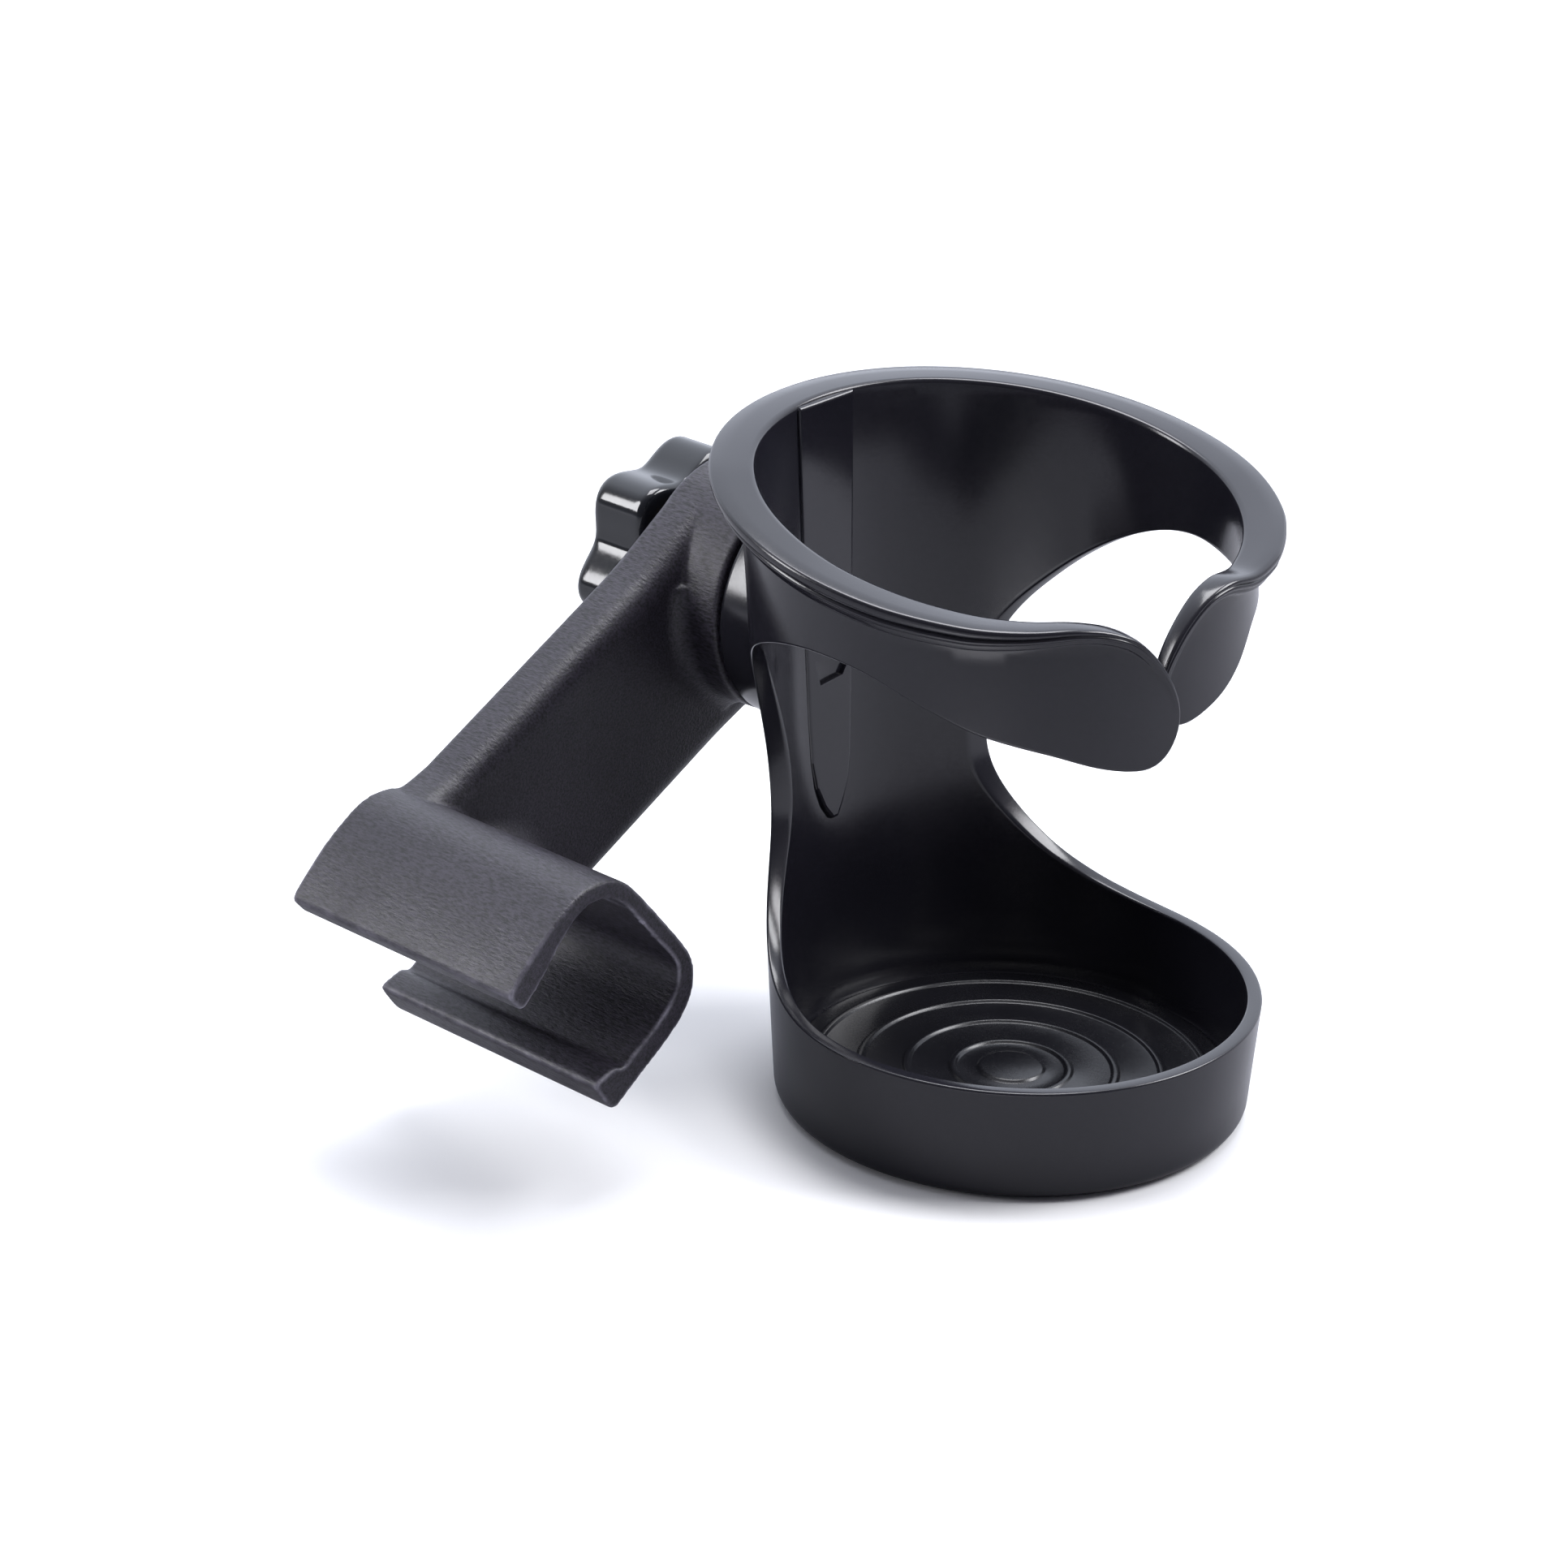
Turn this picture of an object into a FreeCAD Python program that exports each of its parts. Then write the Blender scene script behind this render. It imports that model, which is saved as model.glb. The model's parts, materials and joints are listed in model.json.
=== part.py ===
import FreeCAD, Part
import Sketcher
import math
import os
from FreeCAD import Vector as V

# Clip-on cup holder: a C-shaped edge clip on a flat arm, a friction pivot with a
# lobed hand knob, and an open-fronted cup with two spring arms round the rim.
# Frame: origin at the centre of the cup's underside, +Z up, the pivot axis along X,
# the clip side at -Y, the cup opening towards +X. Millimetres.
# "Near" means the clip side (-Y) of the cup, "far" the other side (+Y).
# Along the pivot, distances are measured from the cup axis towards -X.

doc = FreeCAD.newDocument("clip_cup_holder")
sheet = doc.addObject("Spreadsheet::Sheet", "dims")

# alias, value, meaning
TABLE = [
    ("base_radius", 44.0, "outside radius of the cup at its underside"),
    ("tub_radius", 45.6, "outside radius at the tub rim"),
    ("tub_height", 22.2, "height of the tub rim at the front"),
    ("rim_radius", 46.6, "outside radius of the wall just under the rim flange"),
    ("wall", 2.8, "moulded wall thickness"),
    ("floor_thick", 3.0, "floor of the cup"),
    ("seat_radius", 41.6, "round seat for the base of a mug or bottle"),
    ("seat_base", 5.6, "lower edge of the round seat"),
    ("seat_depth", 5.0, "height of the round seat"),
    ("rim_height", 115.4, "height of the rim centre"),
    ("rim_shift", 9.8, "rim centre set back towards the pivot"),
    ("rim_tilt", 8.2, "rim plane falls towards the opening, degrees"),
    ("rim_roll", 1.65, "rim plane falls towards the clip side, degrees"),
    ("flange_radius", 52.0, "outside radius of the rim flange"),
    ("flange_lip", 2.3, "thickness of the top step of the flange"),
    ("flange_step", 1.5, "inset of the second step"),
    ("flange_depth", 4.6, "total depth of the flange"),
    ("arm_spread", 2.4, "the near front arm stands out from the ring by this much at its tip"),
    ("cup_turn", 8.5, "opening turned towards the clip side, degrees"),
    ("pivot_height", 82.7, "height of the pivot axis"),
    ("pivot_radius", 22.8, "radius of the pivot faces"),
    ("boss_face", 56.0, "pivot face of the cup, distance from the cup axis"),
    ("ring_thick", 1.0, "friction ring between the pivot faces"),
    ("ring_outer", 20.5, "friction ring outside radius"),
    ("ring_inner", 9.0, "friction ring inside radius"),
    ("head_face", 57.02, "pivot face of the arm, distance from the cup axis"),
    ("arm_face", 66.3, "face of the arm bar towards the cup"),
    ("arm_back", 77.6, "face of the arm bar and of the head away from the cup"),
    ("arm_half", 20.5, "half width of the arm bar"),
    ("arm_slope", 28.7, "slope of the arm below horizontal, degrees"),
    ("clip_left", 78.0, "end of the clip furthest from the cup axis"),
    ("clip_right", 22.4, "end of the clip closest to the cup axis"),
    ("shank_radius", 4.0, "pivot bolt shank radius"),
    ("run_gap", 0.06, "radial running clearance"),
    ("face_gap", 0.02, "clearance between turning faces"),
    ("head_flats", 13.0, "pivot bolt head across flats"),
    ("head_thick", 3.6, "pivot bolt head thickness"),
    ("head_start", 50.4, "inner face of the bolt head, distance from the cup axis"),
    ("bolt_end", 93.0, "tip of the pivot bolt, distance from the cup axis"),
    ("tip_bevel", 0.6, "bevel on the bolt tip"),
    ("bush_outer", 6.5, "bush outside radius"),
    ("bush_flange", 10.0, "bush flange radius"),
    ("bush_rim", 1.0, "bush flange thickness"),
    ("disc_outer", 9.5, "spring washer outside radius"),
    ("disc_thick", 0.9, "spring washer sheet thickness"),
    ("disc_rise", 0.5, "spring washer cone rise"),
    ("thrust_outer", 10.0, "thrust washer outside radius"),
    ("thrust_thick", 1.4, "thrust washer thickness"),
    ("knob_radius", 19.3, "mean radius of the knob lobes"),
    ("knob_lobe", 2.1, "lobe height above and below the mean radius"),
    ("knob_count", 6, "number of lobes"),
    ("knob_width", 13.5, "width of the knob grip"),
    ("knob_hub", 9.5, "hub radius of the knob"),
    ("hub_length", 0.9, "hub length towards the arm"),
    ("insert_flats", 12.0, "knob nut across flats"),
    ("insert_length", 6.5, "knob nut length"),
    ("well_radius", 7.4, "well in the knob behind the nut"),
    ("cap_radius", 9.0, "knob cap radius"),
    ("cap_thick", 1.4, "knob cap plate thickness"),
    ("clip_groove", 3.2, "bolt radius in the retaining groove"),
    ("clip_outer", 6.2, "retaining ring outside radius"),
    ("clip_thick", 0.9, "retaining ring thickness"),
    ("clip_place", 91.2, "retaining ring, distance from the cup axis"),
    ("mat_radius", 41.2, "floor mat radius"),
    ("mat_thick", 1.2, "floor mat thickness"),
    ("mat_rib", 0.6, "height of the ribs on the mat"),
    ("cover_half", 6.8, "half width of the bolt cover strip"),
    ("cover_proud", 1.7, "bolt cover stands proud of the wall"),
    ("cover_low", 41.5, "point at the lower end of the bolt cover"),
    ("cover_drop", 1.45, "cover ends this far below the rim"),
    ("peg_radius", 1.5, "pegs on the back of the bolt cover"),
]
for row, (alias, value, note) in enumerate(TABLE, 1):
    sheet.set("A%d" % row, alias)
    sheet.set("B%d" % row, str(value))
    sheet.setAlias("B%d" % row, alias)
    sheet.set("C%d" % row, note)
doc.recompute()


def dim(alias):
    return float(sheet.get(alias))


# ---------------------------------------------------------------- sizes and sketches
class Size:
    """A size carried as both a sheet expression and its number."""

    def __init__(self, text, value):
        self.text = text
        self.value = float(value)

    def __add__(self, other):
        other = as_size(other)
        return Size("(%s + %s)" % (self.text, other.text), self.value + other.value)

    def __sub__(self, other):
        other = as_size(other)
        return Size("(%s - %s)" % (self.text, other.text), self.value - other.value)

    def __mul__(self, other):
        other = as_size(other)
        return Size("(%s * %s)" % (self.text, other.text), self.value * other.value)


def as_size(number):
    return number if isinstance(number, Size) else Size(repr(float(number)), number)


def size(alias):
    return Size("dims." + alias, dim(alias))


def new_body(label):
    body = doc.addObject("PartDesign::Body", label)
    body.Label = label
    return body


def new_sketch(body, name, role):
    sketch = body.newObject("Sketcher::SketchObject", name)
    plane = next(item for item in body.Origin.OriginFeatures if item.Role == role)
    sketch.AttachmentSupport = [(plane, "")]
    sketch.MapMode = "FlatFace"
    return sketch


def draw_loop(sketch, points):
    """Closed polygon in an empty sketch; its corners, Sizes or numbers, follow the sheet."""
    corners = [(as_size(x), as_size(y)) for x, y in points]
    count = len(corners)
    for i in range(count):
        start, end = [V(x.value, y.value, 0) for x, y in (corners[i], corners[(i + 1) % count])]
        sketch.addGeometry(Part.LineSegment(start, end), False)
    for i in range(count):
        sketch.addConstraint(Sketcher.Constraint("Coincident", i, 2, (i + 1) % count, 1))
    for i in range(count):
        # a zero distance becomes a point on the matching axis
        for kind, axis, place in (("DistanceX", -2, corners[i][0]), ("DistanceY", -1, corners[i][1])):
            if abs(place.value) < 1e-9:
                sketch.addConstraint(Sketcher.Constraint("PointOnObject", i, 1, axis))
                continue
            index = sketch.addConstraint(Sketcher.Constraint(kind, -1, 1, i, 1, place.value))
            if "dims." in place.text:
                sketch.setExpression("Constraints[%d]" % index, place.text)


def draw_hexagon(sketch, flats):
    corner = flats * (0.5 / math.cos(math.pi / 6))
    points = []
    for k in range(6):
        angle = math.pi / 3 * k
        # rounding puts the corners on the X axis at exactly zero height
        points.append((corner * round(math.cos(angle), 12), corner * round(math.sin(angle), 12)))
    draw_loop(sketch, points)


def bind_radius(sketch, edge, radius):
    index = sketch.addConstraint(Sketcher.Constraint("Radius", edge, radius.value))
    sketch.setExpression("Constraints[%d]" % index, radius.text)


def pad(body, name, sketch, length):
    feature = body.newObject("PartDesign::Pad", name)
    feature.Profile = sketch
    feature.Length = length.value
    feature.setExpression("Length", length.text)
    body.Tip = feature


def revolve(body, name, sketch):
    feature = body.newObject("PartDesign::Revolution", name)
    feature.Profile = sketch
    feature.ReferenceAxis = (sketch, ["V_Axis"])
    feature.Angle = 360.0
    body.Tip = feature
    doc.recompute()


def turned(label, points):
    """A turned piece: profile in (radius, length along the axis)."""
    body = new_body(label)
    sketch = new_sketch(body, label + "_profile", "XZ_Plane")
    draw_loop(sketch, points)
    revolve(body, label + "_turn", sketch)
    return body


def along_pivot(obj, distance, spin=0.0):
    """Stands a piece built along local Z on the pivot axis, pointing away from the cup."""
    turn = FreeCAD.Rotation(V(0, 1, 0), -90).multiply(FreeCAD.Rotation(V(0, 0, 1), spin))
    obj.Placement = FreeCAD.Placement(V(-distance, 0, dim("pivot_height")), turn)
    obj.setExpression("Placement.Base.z", "dims.pivot_height")


# ---------------------------------------------------------------- solid helpers
def add_solid(label, shape):
    obj = doc.addObject("Part::Feature", label)
    obj.Label = label
    obj.Shape = shape.Solids[0]
    obj.Placement = FreeCAD.Placement()
    return obj


def hexagon_corners(flats):
    """Corner coordinates of a hexagon, the first one repeated to close it."""
    corner = flats / 2 / math.cos(math.pi / 6)
    angles = [math.pi / 3 * k for k in range(7)]
    return [(corner * math.cos(angle), corner * math.sin(angle)) for angle in angles]


def polygon_prism(points, direction):
    return Part.Face(Part.makePolygon(points)).extrude(direction)


def first_fillet(shape, edges, radii, accept=lambda trial: True):
    """Fillets with the first radius that gives a sound shape, else leaves it as it is."""
    for radius in radii:
        # guards against a radius that the modeller can't roll along these edges
        try:
            trial = shape.makeFillet(radius, edges)
            if trial.isValid() and accept(trial):
                return trial
        except Exception:
            continue
    return shape


# ---------------------------------------------------------------- cup frame and wall
X_AXIS, Y_AXIS, Z_AXIS = V(1, 0, 0), V(0, 1, 0), V(0, 0, 1)
WALL = dim("wall")
PIVOT_Z = dim("pivot_height")
SPREAD = dim("arm_spread")
RIM_CENTRE = V(-dim("rim_shift"), 0, dim("rim_height"))
TILT = FreeCAD.Rotation(Y_AXIS, dim("rim_tilt")).multiply(
    FreeCAD.Rotation(X_AXIS, dim("rim_roll")))
TURN = FreeCAD.Rotation(Z_AXIS, -dim("cup_turn"))
# the cup's own axes: OPENING points out of the opening, SIDEWAYS to the far side
OPENING = TURN.multVec(X_AXIS)
SIDEWAYS = TURN.multVec(Y_AXIS)
TUB_CENTRE = V(-0.1, 0, dim("tub_height"))
# the wall leans back from the tub rim to the cup rim
LEAN = (RIM_CENTRE - TUB_CENTRE).normalize()
INWARD = Y_AXIS.cross(LEAN)


def sleeve(offset, spread=0.0):
    """Solid inside the cup wall, offset inwards; spread widens it towards the far side."""
    level = FreeCAD.Rotation()
    # outside radius, centre, tilt of each section
    stations = [
        (dim("base_radius"), V(0, 0, 0), level),
        (dim("tub_radius"), TUB_CENTRE, level),
        (dim("tub_radius") + 0.2, V(-1.9, 0, dim("tub_height") + 20.0), level),
        (dim("rim_radius"), RIM_CENTRE, TILT),
        (dim("rim_radius") + 0.15, RIM_CENTRE + TILT.multVec(V(-1.3, 0, 12)), TILT),
    ]
    wires = []
    for radius, centre, tilt in stations:
        wire = Part.Wire([Part.makeCircle(radius - offset + spread, V(0, 0, 0), Z_AXIS)])
        wire.Placement = FreeCAD.Placement(centre + SIDEWAYS * spread, tilt.multiply(TURN))
        wires.append(wire)
    return Part.makeLoft(wires, True, True)


def block_beyond(origin, normal):
    """Large block from a plane through origin, spanned by SIDEWAYS and normal x SIDEWAYS."""
    normal = V(normal).normalize()
    upright = normal.cross(SIDEWAYS)
    signs = ((-1, -1), (1, -1), (1, 1), (-1, 1), (-1, -1))
    corners = [origin + SIDEWAYS * a * 200 + upright * b * 200 for a, b in signs]
    return polygon_prism(corners, normal * 200)


def near_block(reach):
    """Block on the near side of the cup, up to reach past its mid plane."""
    box = Part.makeBox(200, 200, 300, V(-100, 0, -50))
    box.Placement = FreeCAD.Placement(SIDEWAYS * (-200 + reach), TURN)
    return box


def block_above_rim(level):
    """Block above the rim plane, starting at level in the rim frame."""
    box = Part.makeBox(300, 300, 60, V(-150, -150, level))
    box.Placement = FreeCAD.Placement(RIM_CENTRE, TILT)
    return box


def outline_prism(curve_points, line_points, direction, origin, across, depth):
    """Extrudes an outline in (across, height) along direction, both ways from origin.

    A spline runs through curve_points and straight lines close it by way of line_points.
    """
    def at(point):
        return origin + across * point[0] + Z_AXIS * point[1] - direction * depth
    curve = Part.BSplineCurve()
    curve.interpolate([at(point) for point in curve_points])
    edges = [curve.toShape()]
    chain = [curve_points[-1]] + line_points + [curve_points[0]]
    for start, end in zip(chain[:-1], chain[1:]):
        edges.append(Part.LineSegment(at(start), at(end)).toShape())
    return Part.Face(Part.Wire(edges)).extrude(direction * (2 * depth))


BACK_OUTER = sleeve(0.0)
BACK_INNER = sleeve(WALL)


def inner_wall_point(z):
    """Point on the inner face of the back wall, straight behind the cup axis."""
    line = Part.LineSegment(V(-20, 0, z), V(-80, 0, z)).toShape()
    hits = line.common(BACK_INNER)
    return V(min(vertex.Point.x for vertex in hits.Vertexes), 0, z)


PEG_POINTS = [inner_wall_point(58.0), inner_wall_point(108.0)]


# ---------------------------------------------------------------- rim flange
ARM_OVERLAP = 8.0   # degrees each front arm of the flange runs past the mid plane
ARM_TRIM = 1.6      # the flange of a front arm narrows by this much in radius


def back_flange(outer, inner):
    """Edges of the back half of the flange, in the rim frame."""
    return [
        Part.Arc(V(0, outer, 0), V(-outer, 0, 0), V(0, -outer, 0)).toShape(),
        Part.LineSegment(V(0, -outer, 0), V(0, -inner, 0)).toShape(),
        Part.Arc(V(0, -inner, 0), V(-inner, 0, 0), V(0, inner, 0)).toShape(),
        Part.LineSegment(V(0, inner, 0), V(0, outer, 0)).toShape(),
    ]


def arm_flange(outer, inner, side, spread):
    """Edges of one front arm of the flange; side is -1 for the near arm, 1 for the far arm."""
    # the outer edge closes in on the wall towards the tip of the arm
    outer_arc = (side * ARM_TRIM, outer - ARM_TRIM)
    inner_arc = (spread, inner + spread)
    root = 90.0 * side
    tip = -ARM_OVERLAP * side

    def on(arc, degrees):
        centre_y, radius = arc
        angle = math.radians(degrees)
        return V(radius * math.cos(angle), centre_y + radius * math.sin(angle), 0)
    middle = (root + tip) / 2
    return [
        Part.Arc(on(outer_arc, root), on(outer_arc, middle), on(outer_arc, tip)).toShape(),
        Part.LineSegment(on(outer_arc, tip), on(inner_arc, tip)).toShape(),
        Part.Arc(on(inner_arc, tip), on(inner_arc, middle), on(inner_arc, root)).toShape(),
        Part.LineSegment(on(inner_arc, root), on(outer_arc, root)).toShape(),
    ]


def near_flange(outer, inner):
    return arm_flange(outer, inner, -1.0, SPREAD)


def far_flange(outer, inner):
    return arm_flange(outer, inner, 1.0, 0.0)


def with_flange(wall, outlines):
    """Cuts the wall at the rim plane and adds both steps of the flange."""
    lip = dim("flange_lip")
    inner = dim("rim_radius") - WALL - 0.25
    # top and bottom below the rim plane, inset
    flange_steps = [(0.0, lip, 0.0), (lip - 0.01, dim("flange_depth"), dim("flange_step"))]
    plates = []
    for outline in outlines:
        for top, bottom, inset in flange_steps:
            face = Part.Face(Part.Wire(outline(dim("flange_radius") - inset, inner)))
            face.translate(V(0, 0, -bottom))
            plate = face.extrude(V(0, 0, bottom - top))
            rim_frame = FreeCAD.Placement(RIM_CENTRE, TILT.multiply(TURN))
            plate.Placement = rim_frame.multiply(plate.Placement)
            plates.append(plate)
    return wall.cut(block_above_rim(0)).multiFuse(plates)


# ---------------------------------------------------------------- cup shell
# Rounded ends of the two front arms, seen along OPENING: (sideways, height).
NEAR_TIP = [
    (-29, 109.8), (-22, 107.9), (-18.1, 106.4), (-15.3, 105.3), (-12.4, 103.5), (-9.4, 100.7),
    (-5.8, 95.4), (-3.9, 90.6), (-3.8, 87.2), (-5.3, 83.9), (-8.1, 81.7), (-11.9, 80.6),
    (-18, 80.4),
]
NEAR_TIP_CLOSE = [(-18, 40), (60, 40), (60, 150), (-29, 150)]
FAR_TIP = [
    (20, 111.0), (12, 110.0), (8.9, 108.8), (5.3, 106.9), (2.5, 104.7), (0.1, 102.2),
    (-1.9, 99.2), (-3.0, 96), (-3.1, 93), (-2.4, 90), (-0.9, 87.9), (1.2, 87.3), (5.5, 88.2),
    (10.3, 89.5), (14.0, 91.1), (17.3, 93.2), (20.2, 95.6), (23.0, 97.4), (27.0, 98.4),
    (34.0, 98.8), (41.0, 98.9),
]
FAR_TIP_CLOSE = [(41, 40), (-60, 40), (-60, 150), (20, 150)]

# Edges of the opening between tub and ring, seen along SIDEWAYS: (towards opening, height).
# The tub edge runs to the back of the opening, then one ring edge per side runs forward.
TUB_EDGE = [
    (46.0, 22.2), (20.0, 22.2), (0.0, 22.2), (-8.0, 22.6), (-14.0, 23.4), (-20.0, 25.0),
    (-24.8, 27.3), (-28.4, 29.8), (-31.3, 32.7), (-33.8, 35.9), (-36.0, 39.4), (-37.8, 43.0),
    (-39.2, 47.0), (-40.1, 52.0), (-40.5, 58.0),
]
NEAR_RING_EDGE = [
    (-40.2, 65.0), (-39.3, 71.0), (-37.5, 77.5), (-34.2, 83.6), (-28.6, 88.5), (-21.4, 92.4),
    (-14.2, 95.0), (-6.0, 96.6), (0.0, 96.7), (6.5, 95.9), (16.8, 92.0), (25.8, 87.3),
    (31.1, 84.4), (35.2, 82.2), (38.5, 81.0), (46.0, 80.2),
]
NEAR_OPENING_CLOSE = [(90, 80.2), (90, 22.2)]
FAR_RING_EDGE = [
    (-40.4, 66.0), (-39.8, 73.0), (-37.3, 78.8), (-33.8, 83.7), (-29.4, 88.5), (-24.6, 92.4),
    (-20.0, 95.2), (-14.0, 97.8), (-8.0, 99.3), (-2.6, 99.8), (5.0, 99.4), (14.0, 98.9),
    (24.0, 98.8),
]
FAR_OPENING_CLOSE = [(24.0, 62.0), (90, 62.0), (90, 22.2)]

TIP_CUT_PLACE = 46.0    # middle of the tip cuts, from the rim centre towards the opening
TIP_CUT_DEPTH = 26.0    # half length of the tip cuts
SIDE_CUT_DEPTH = 40.0   # half length of the opening cuts
SPLIT_Z = 60            # the front arms are made above this height
POCKET_START = 40       # the bolt head pocket is cut from here towards -X
PEG_HOLE_DEPTH = 1.8


def wall_with_arms():
    """Cup wall, rim flange and the two front arms, still without the side opening."""
    # the plane along the lean of the cup axis parts the back from the front arms
    front = block_beyond(TUB_CENTRE, SIDEWAYS.cross(LEAN))
    front_upper = front.common(Part.makeBox(400, 400, 200, V(-200, -200, SPLIT_Z)))
    back_shell = BACK_OUTER.cut(BACK_INNER)
    near_shell = sleeve(0.0, SPREAD).cut(sleeve(WALL, SPREAD))
    back_wall = back_shell.cut(front_upper.common(near_block(-4.0)))
    near_wall = near_shell.common(front_upper).common(near_block(6.0))
    back_ring = with_flange(back_wall, [back_flange, far_flange])
    near_ring = with_flange(near_wall, [near_flange])

    middle = V(-dim("rim_shift"), 0, 0) + OPENING * TIP_CUT_PLACE
    near_ring = near_ring.cut(outline_prism(
        NEAR_TIP, NEAR_TIP_CLOSE, OPENING, middle, SIDEWAYS, TIP_CUT_DEPTH))
    far_cutter = outline_prism(
        FAR_TIP, FAR_TIP_CLOSE, OPENING, middle, SIDEWAYS, TIP_CUT_DEPTH)
    back_ring = back_ring.cut(far_cutter.common(front_upper))
    return back_ring.fuse(near_ring)


def pivot_boss():
    boss = Part.makeCylinder(dim("pivot_radius"), 40, V(-dim("boss_face"), 0, PIVOT_Z), X_AXIS)
    boss = boss.cut(BACK_INNER).cut(block_beyond(V(-20, 0, 0), X_AXIS))
    boss = boss.cut(block_above_rim(-0.3))
    return boss.common(Part.makeBox(60, 100, 100, V(-90, -50, 40)))


def make_cup_shell():
    shell = wall_with_arms()
    near_cut = outline_prism(TUB_EDGE + NEAR_RING_EDGE, NEAR_OPENING_CLOSE, SIDEWAYS,
                             SIDEWAYS * -SIDE_CUT_DEPTH, OPENING, SIDE_CUT_DEPTH)
    far_cut = outline_prism(TUB_EDGE + FAR_RING_EDGE, FAR_OPENING_CLOSE, SIDEWAYS,
                            SIDEWAYS * SIDE_CUT_DEPTH, OPENING, SIDE_CUT_DEPTH)
    shell = shell.cut(near_cut).cut(far_cut)

    # floor and round seat
    floor_box = Part.makeBox(200, 200, dim("floor_thick"), V(-100, -100, 0))
    shell = shell.fuse(BACK_OUTER.common(floor_box))
    seat_zone = Part.makeCylinder(60, dim("seat_depth"), V(0, 0, dim("seat_base")))
    seat = BACK_OUTER.common(seat_zone)
    seat = seat.cut(Part.makeCylinder(dim("seat_radius"), 60, V(0, 0, 0)))
    shell = shell.fuse(seat)

    # pivot boss with a captive pocket for the bolt head and a hole for its shank
    shell = shell.fuse(pivot_boss())
    corners = [V(-POCKET_START, y, PIVOT_Z + z)
               for z, y in hexagon_corners(dim("head_flats") + 0.1)]
    pocket_end = dim("head_start") + dim("head_thick") + 0.02
    shell = shell.cut(polygon_prism(corners, V(POCKET_START - pocket_end, 0, 0)))
    hole_radius = dim("shank_radius") + dim("run_gap")
    shell = shell.cut(Part.makeCylinder(hole_radius, 40, V(-70, 0, PIVOT_Z), X_AXIS))

    # holes for the pegs of the bolt cover
    for point in PEG_POINTS:
        shell = shell.cut(Part.makeCylinder(
            dim("peg_radius") + dim("run_gap"), 20, point - INWARD * PEG_HOLE_DEPTH, INWARD))
    add_solid("cup_shell", shell)


# ---------------------------------------------------------------- bolt cover strip
COVER_TOP = 121.2       # the strip is drawn up to here and trimmed at the rim
COVER_FIT = 0.03        # gap between the cover and the wall
NOTCH_DEPTH = 0.9
PEG_DEPTH = 1.6         # length of a peg in the wall
PEG_ROOT = 1.4          # length of a peg in the cover
COVER_NOTCH = [(-5.0, 71.6), (4.2, 70.2), (-2.2, 68.2), (-3.6, 68.6)]   # (y, height)


def make_spine_cover():
    """Strip on the inner face of the back wall, over the bolt head."""
    foot = inner_wall_point(PIVOT_Z)
    low = dim("cover_low")
    half = dim("cover_half")
    # (y, height)
    strip = [(-2.6, low), (-1.4, low), (2.2, low + 7.0), (3.8, low + 20),
             (half + 1.6, COVER_TOP), (-half - 0.2, COVER_TOP), (-half - 1.2, low + 20),
             (-7.2, low + 8.0)]

    def on_face(outline, lift=0.0):
        """Closed outline on the front face of the cover, lifted inwards by lift."""
        points = []
        for y, z in outline + outline[:1]:
            rise = (z - PIVOT_Z) / LEAN.z
            points.append(foot + LEAN * rise + Y_AXIS * y + INWARD * dim("cover_proud")
                          + INWARD * lift)
        return points

    cover = polygon_prism(on_face(strip), INWARD * -8.0)
    cover = cover.common(sleeve(WALL + COVER_FIT))
    notch = polygon_prism(on_face(COVER_NOTCH, lift=1.0), INWARD * -(1.0 + NOTCH_DEPTH))
    cover = cover.cut(notch)
    for point in PEG_POINTS:
        cover = cover.fuse(Part.makeCylinder(
            dim("peg_radius"), PEG_DEPTH + PEG_ROOT, point - INWARD * PEG_DEPTH, INWARD))
    cover = cover.cut(block_above_rim(-dim("cover_drop")))
    add_solid("spine_cover", cover.removeSplitter())


# ---------------------------------------------------------------- arm with clip
SLOPE = math.radians(dim("arm_slope"))
PIVOT = V(0, 0, PIVOT_Z)
ALONG = V(0, -math.cos(SLOPE), -math.sin(SLOPE))    # down the arm towards the clip
ACROSS = V(0, -math.sin(SLOPE), math.cos(SLOPE))    # upwards across the arm

# Side outline of the clip, measured from the pivot: (along, across).
CLIP_OUTER = [
    (111.0, 21.3), (107.5, 22.6), (101.5, 24.2), (96.2, 25.0), (91.0, 25.1), (87.0, 24.0),
    (83.6, 21.7), (81.3, 18.6), (79.9, 14.2), (78.6, 8.6), (77.3, 2.4), (76.3, -2.8),
    (76.0, -6.4), (76.9, -10.0), (79.4, -13.2), (83.2, -15.3), (88.5, -16.5), (95.0, -17.2),
    (103.3, -18.2),
]
LIP_LOW = [(103.3, -18.2), (104.4, -17.4), (105.2, -11.2), (104.5, -10.3), (100.2, -10.9),
           (98.4, -12.7)]
INNER_LOW = [(98.4, -12.7), (94.0, -12.3), (89.0, -11.8), (84.6, -10.8), (81.0, -8.6),
             (79.4, -5.8), (79.4, -3.0)]
WEB = [(79.4, -3.0), (82.8, 12.6)]
INNER_TOP = [(82.8, 12.6), (84.4, 17.2), (86.8, 20.2), (90.2, 21.8), (94.0, 21.8),
             (98.6, 20.4), (104.4, 18.0), (109.8, 16.4)]
LIP_TOP = [(109.8, 16.4), (110.8, 16.8), (111.6, 20.6), (111.0, 21.3)]
INNER_RUN = [("to_web", INNER_LOW), ("line", WEB), ("from_web", INNER_TOP)]

CORE_DEPTH = 7.6
CORE_HALF = 16.4
CORE_SPANS = ((27.5, 43.5), (46.0, 62.0))   # start and end along the arm


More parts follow.
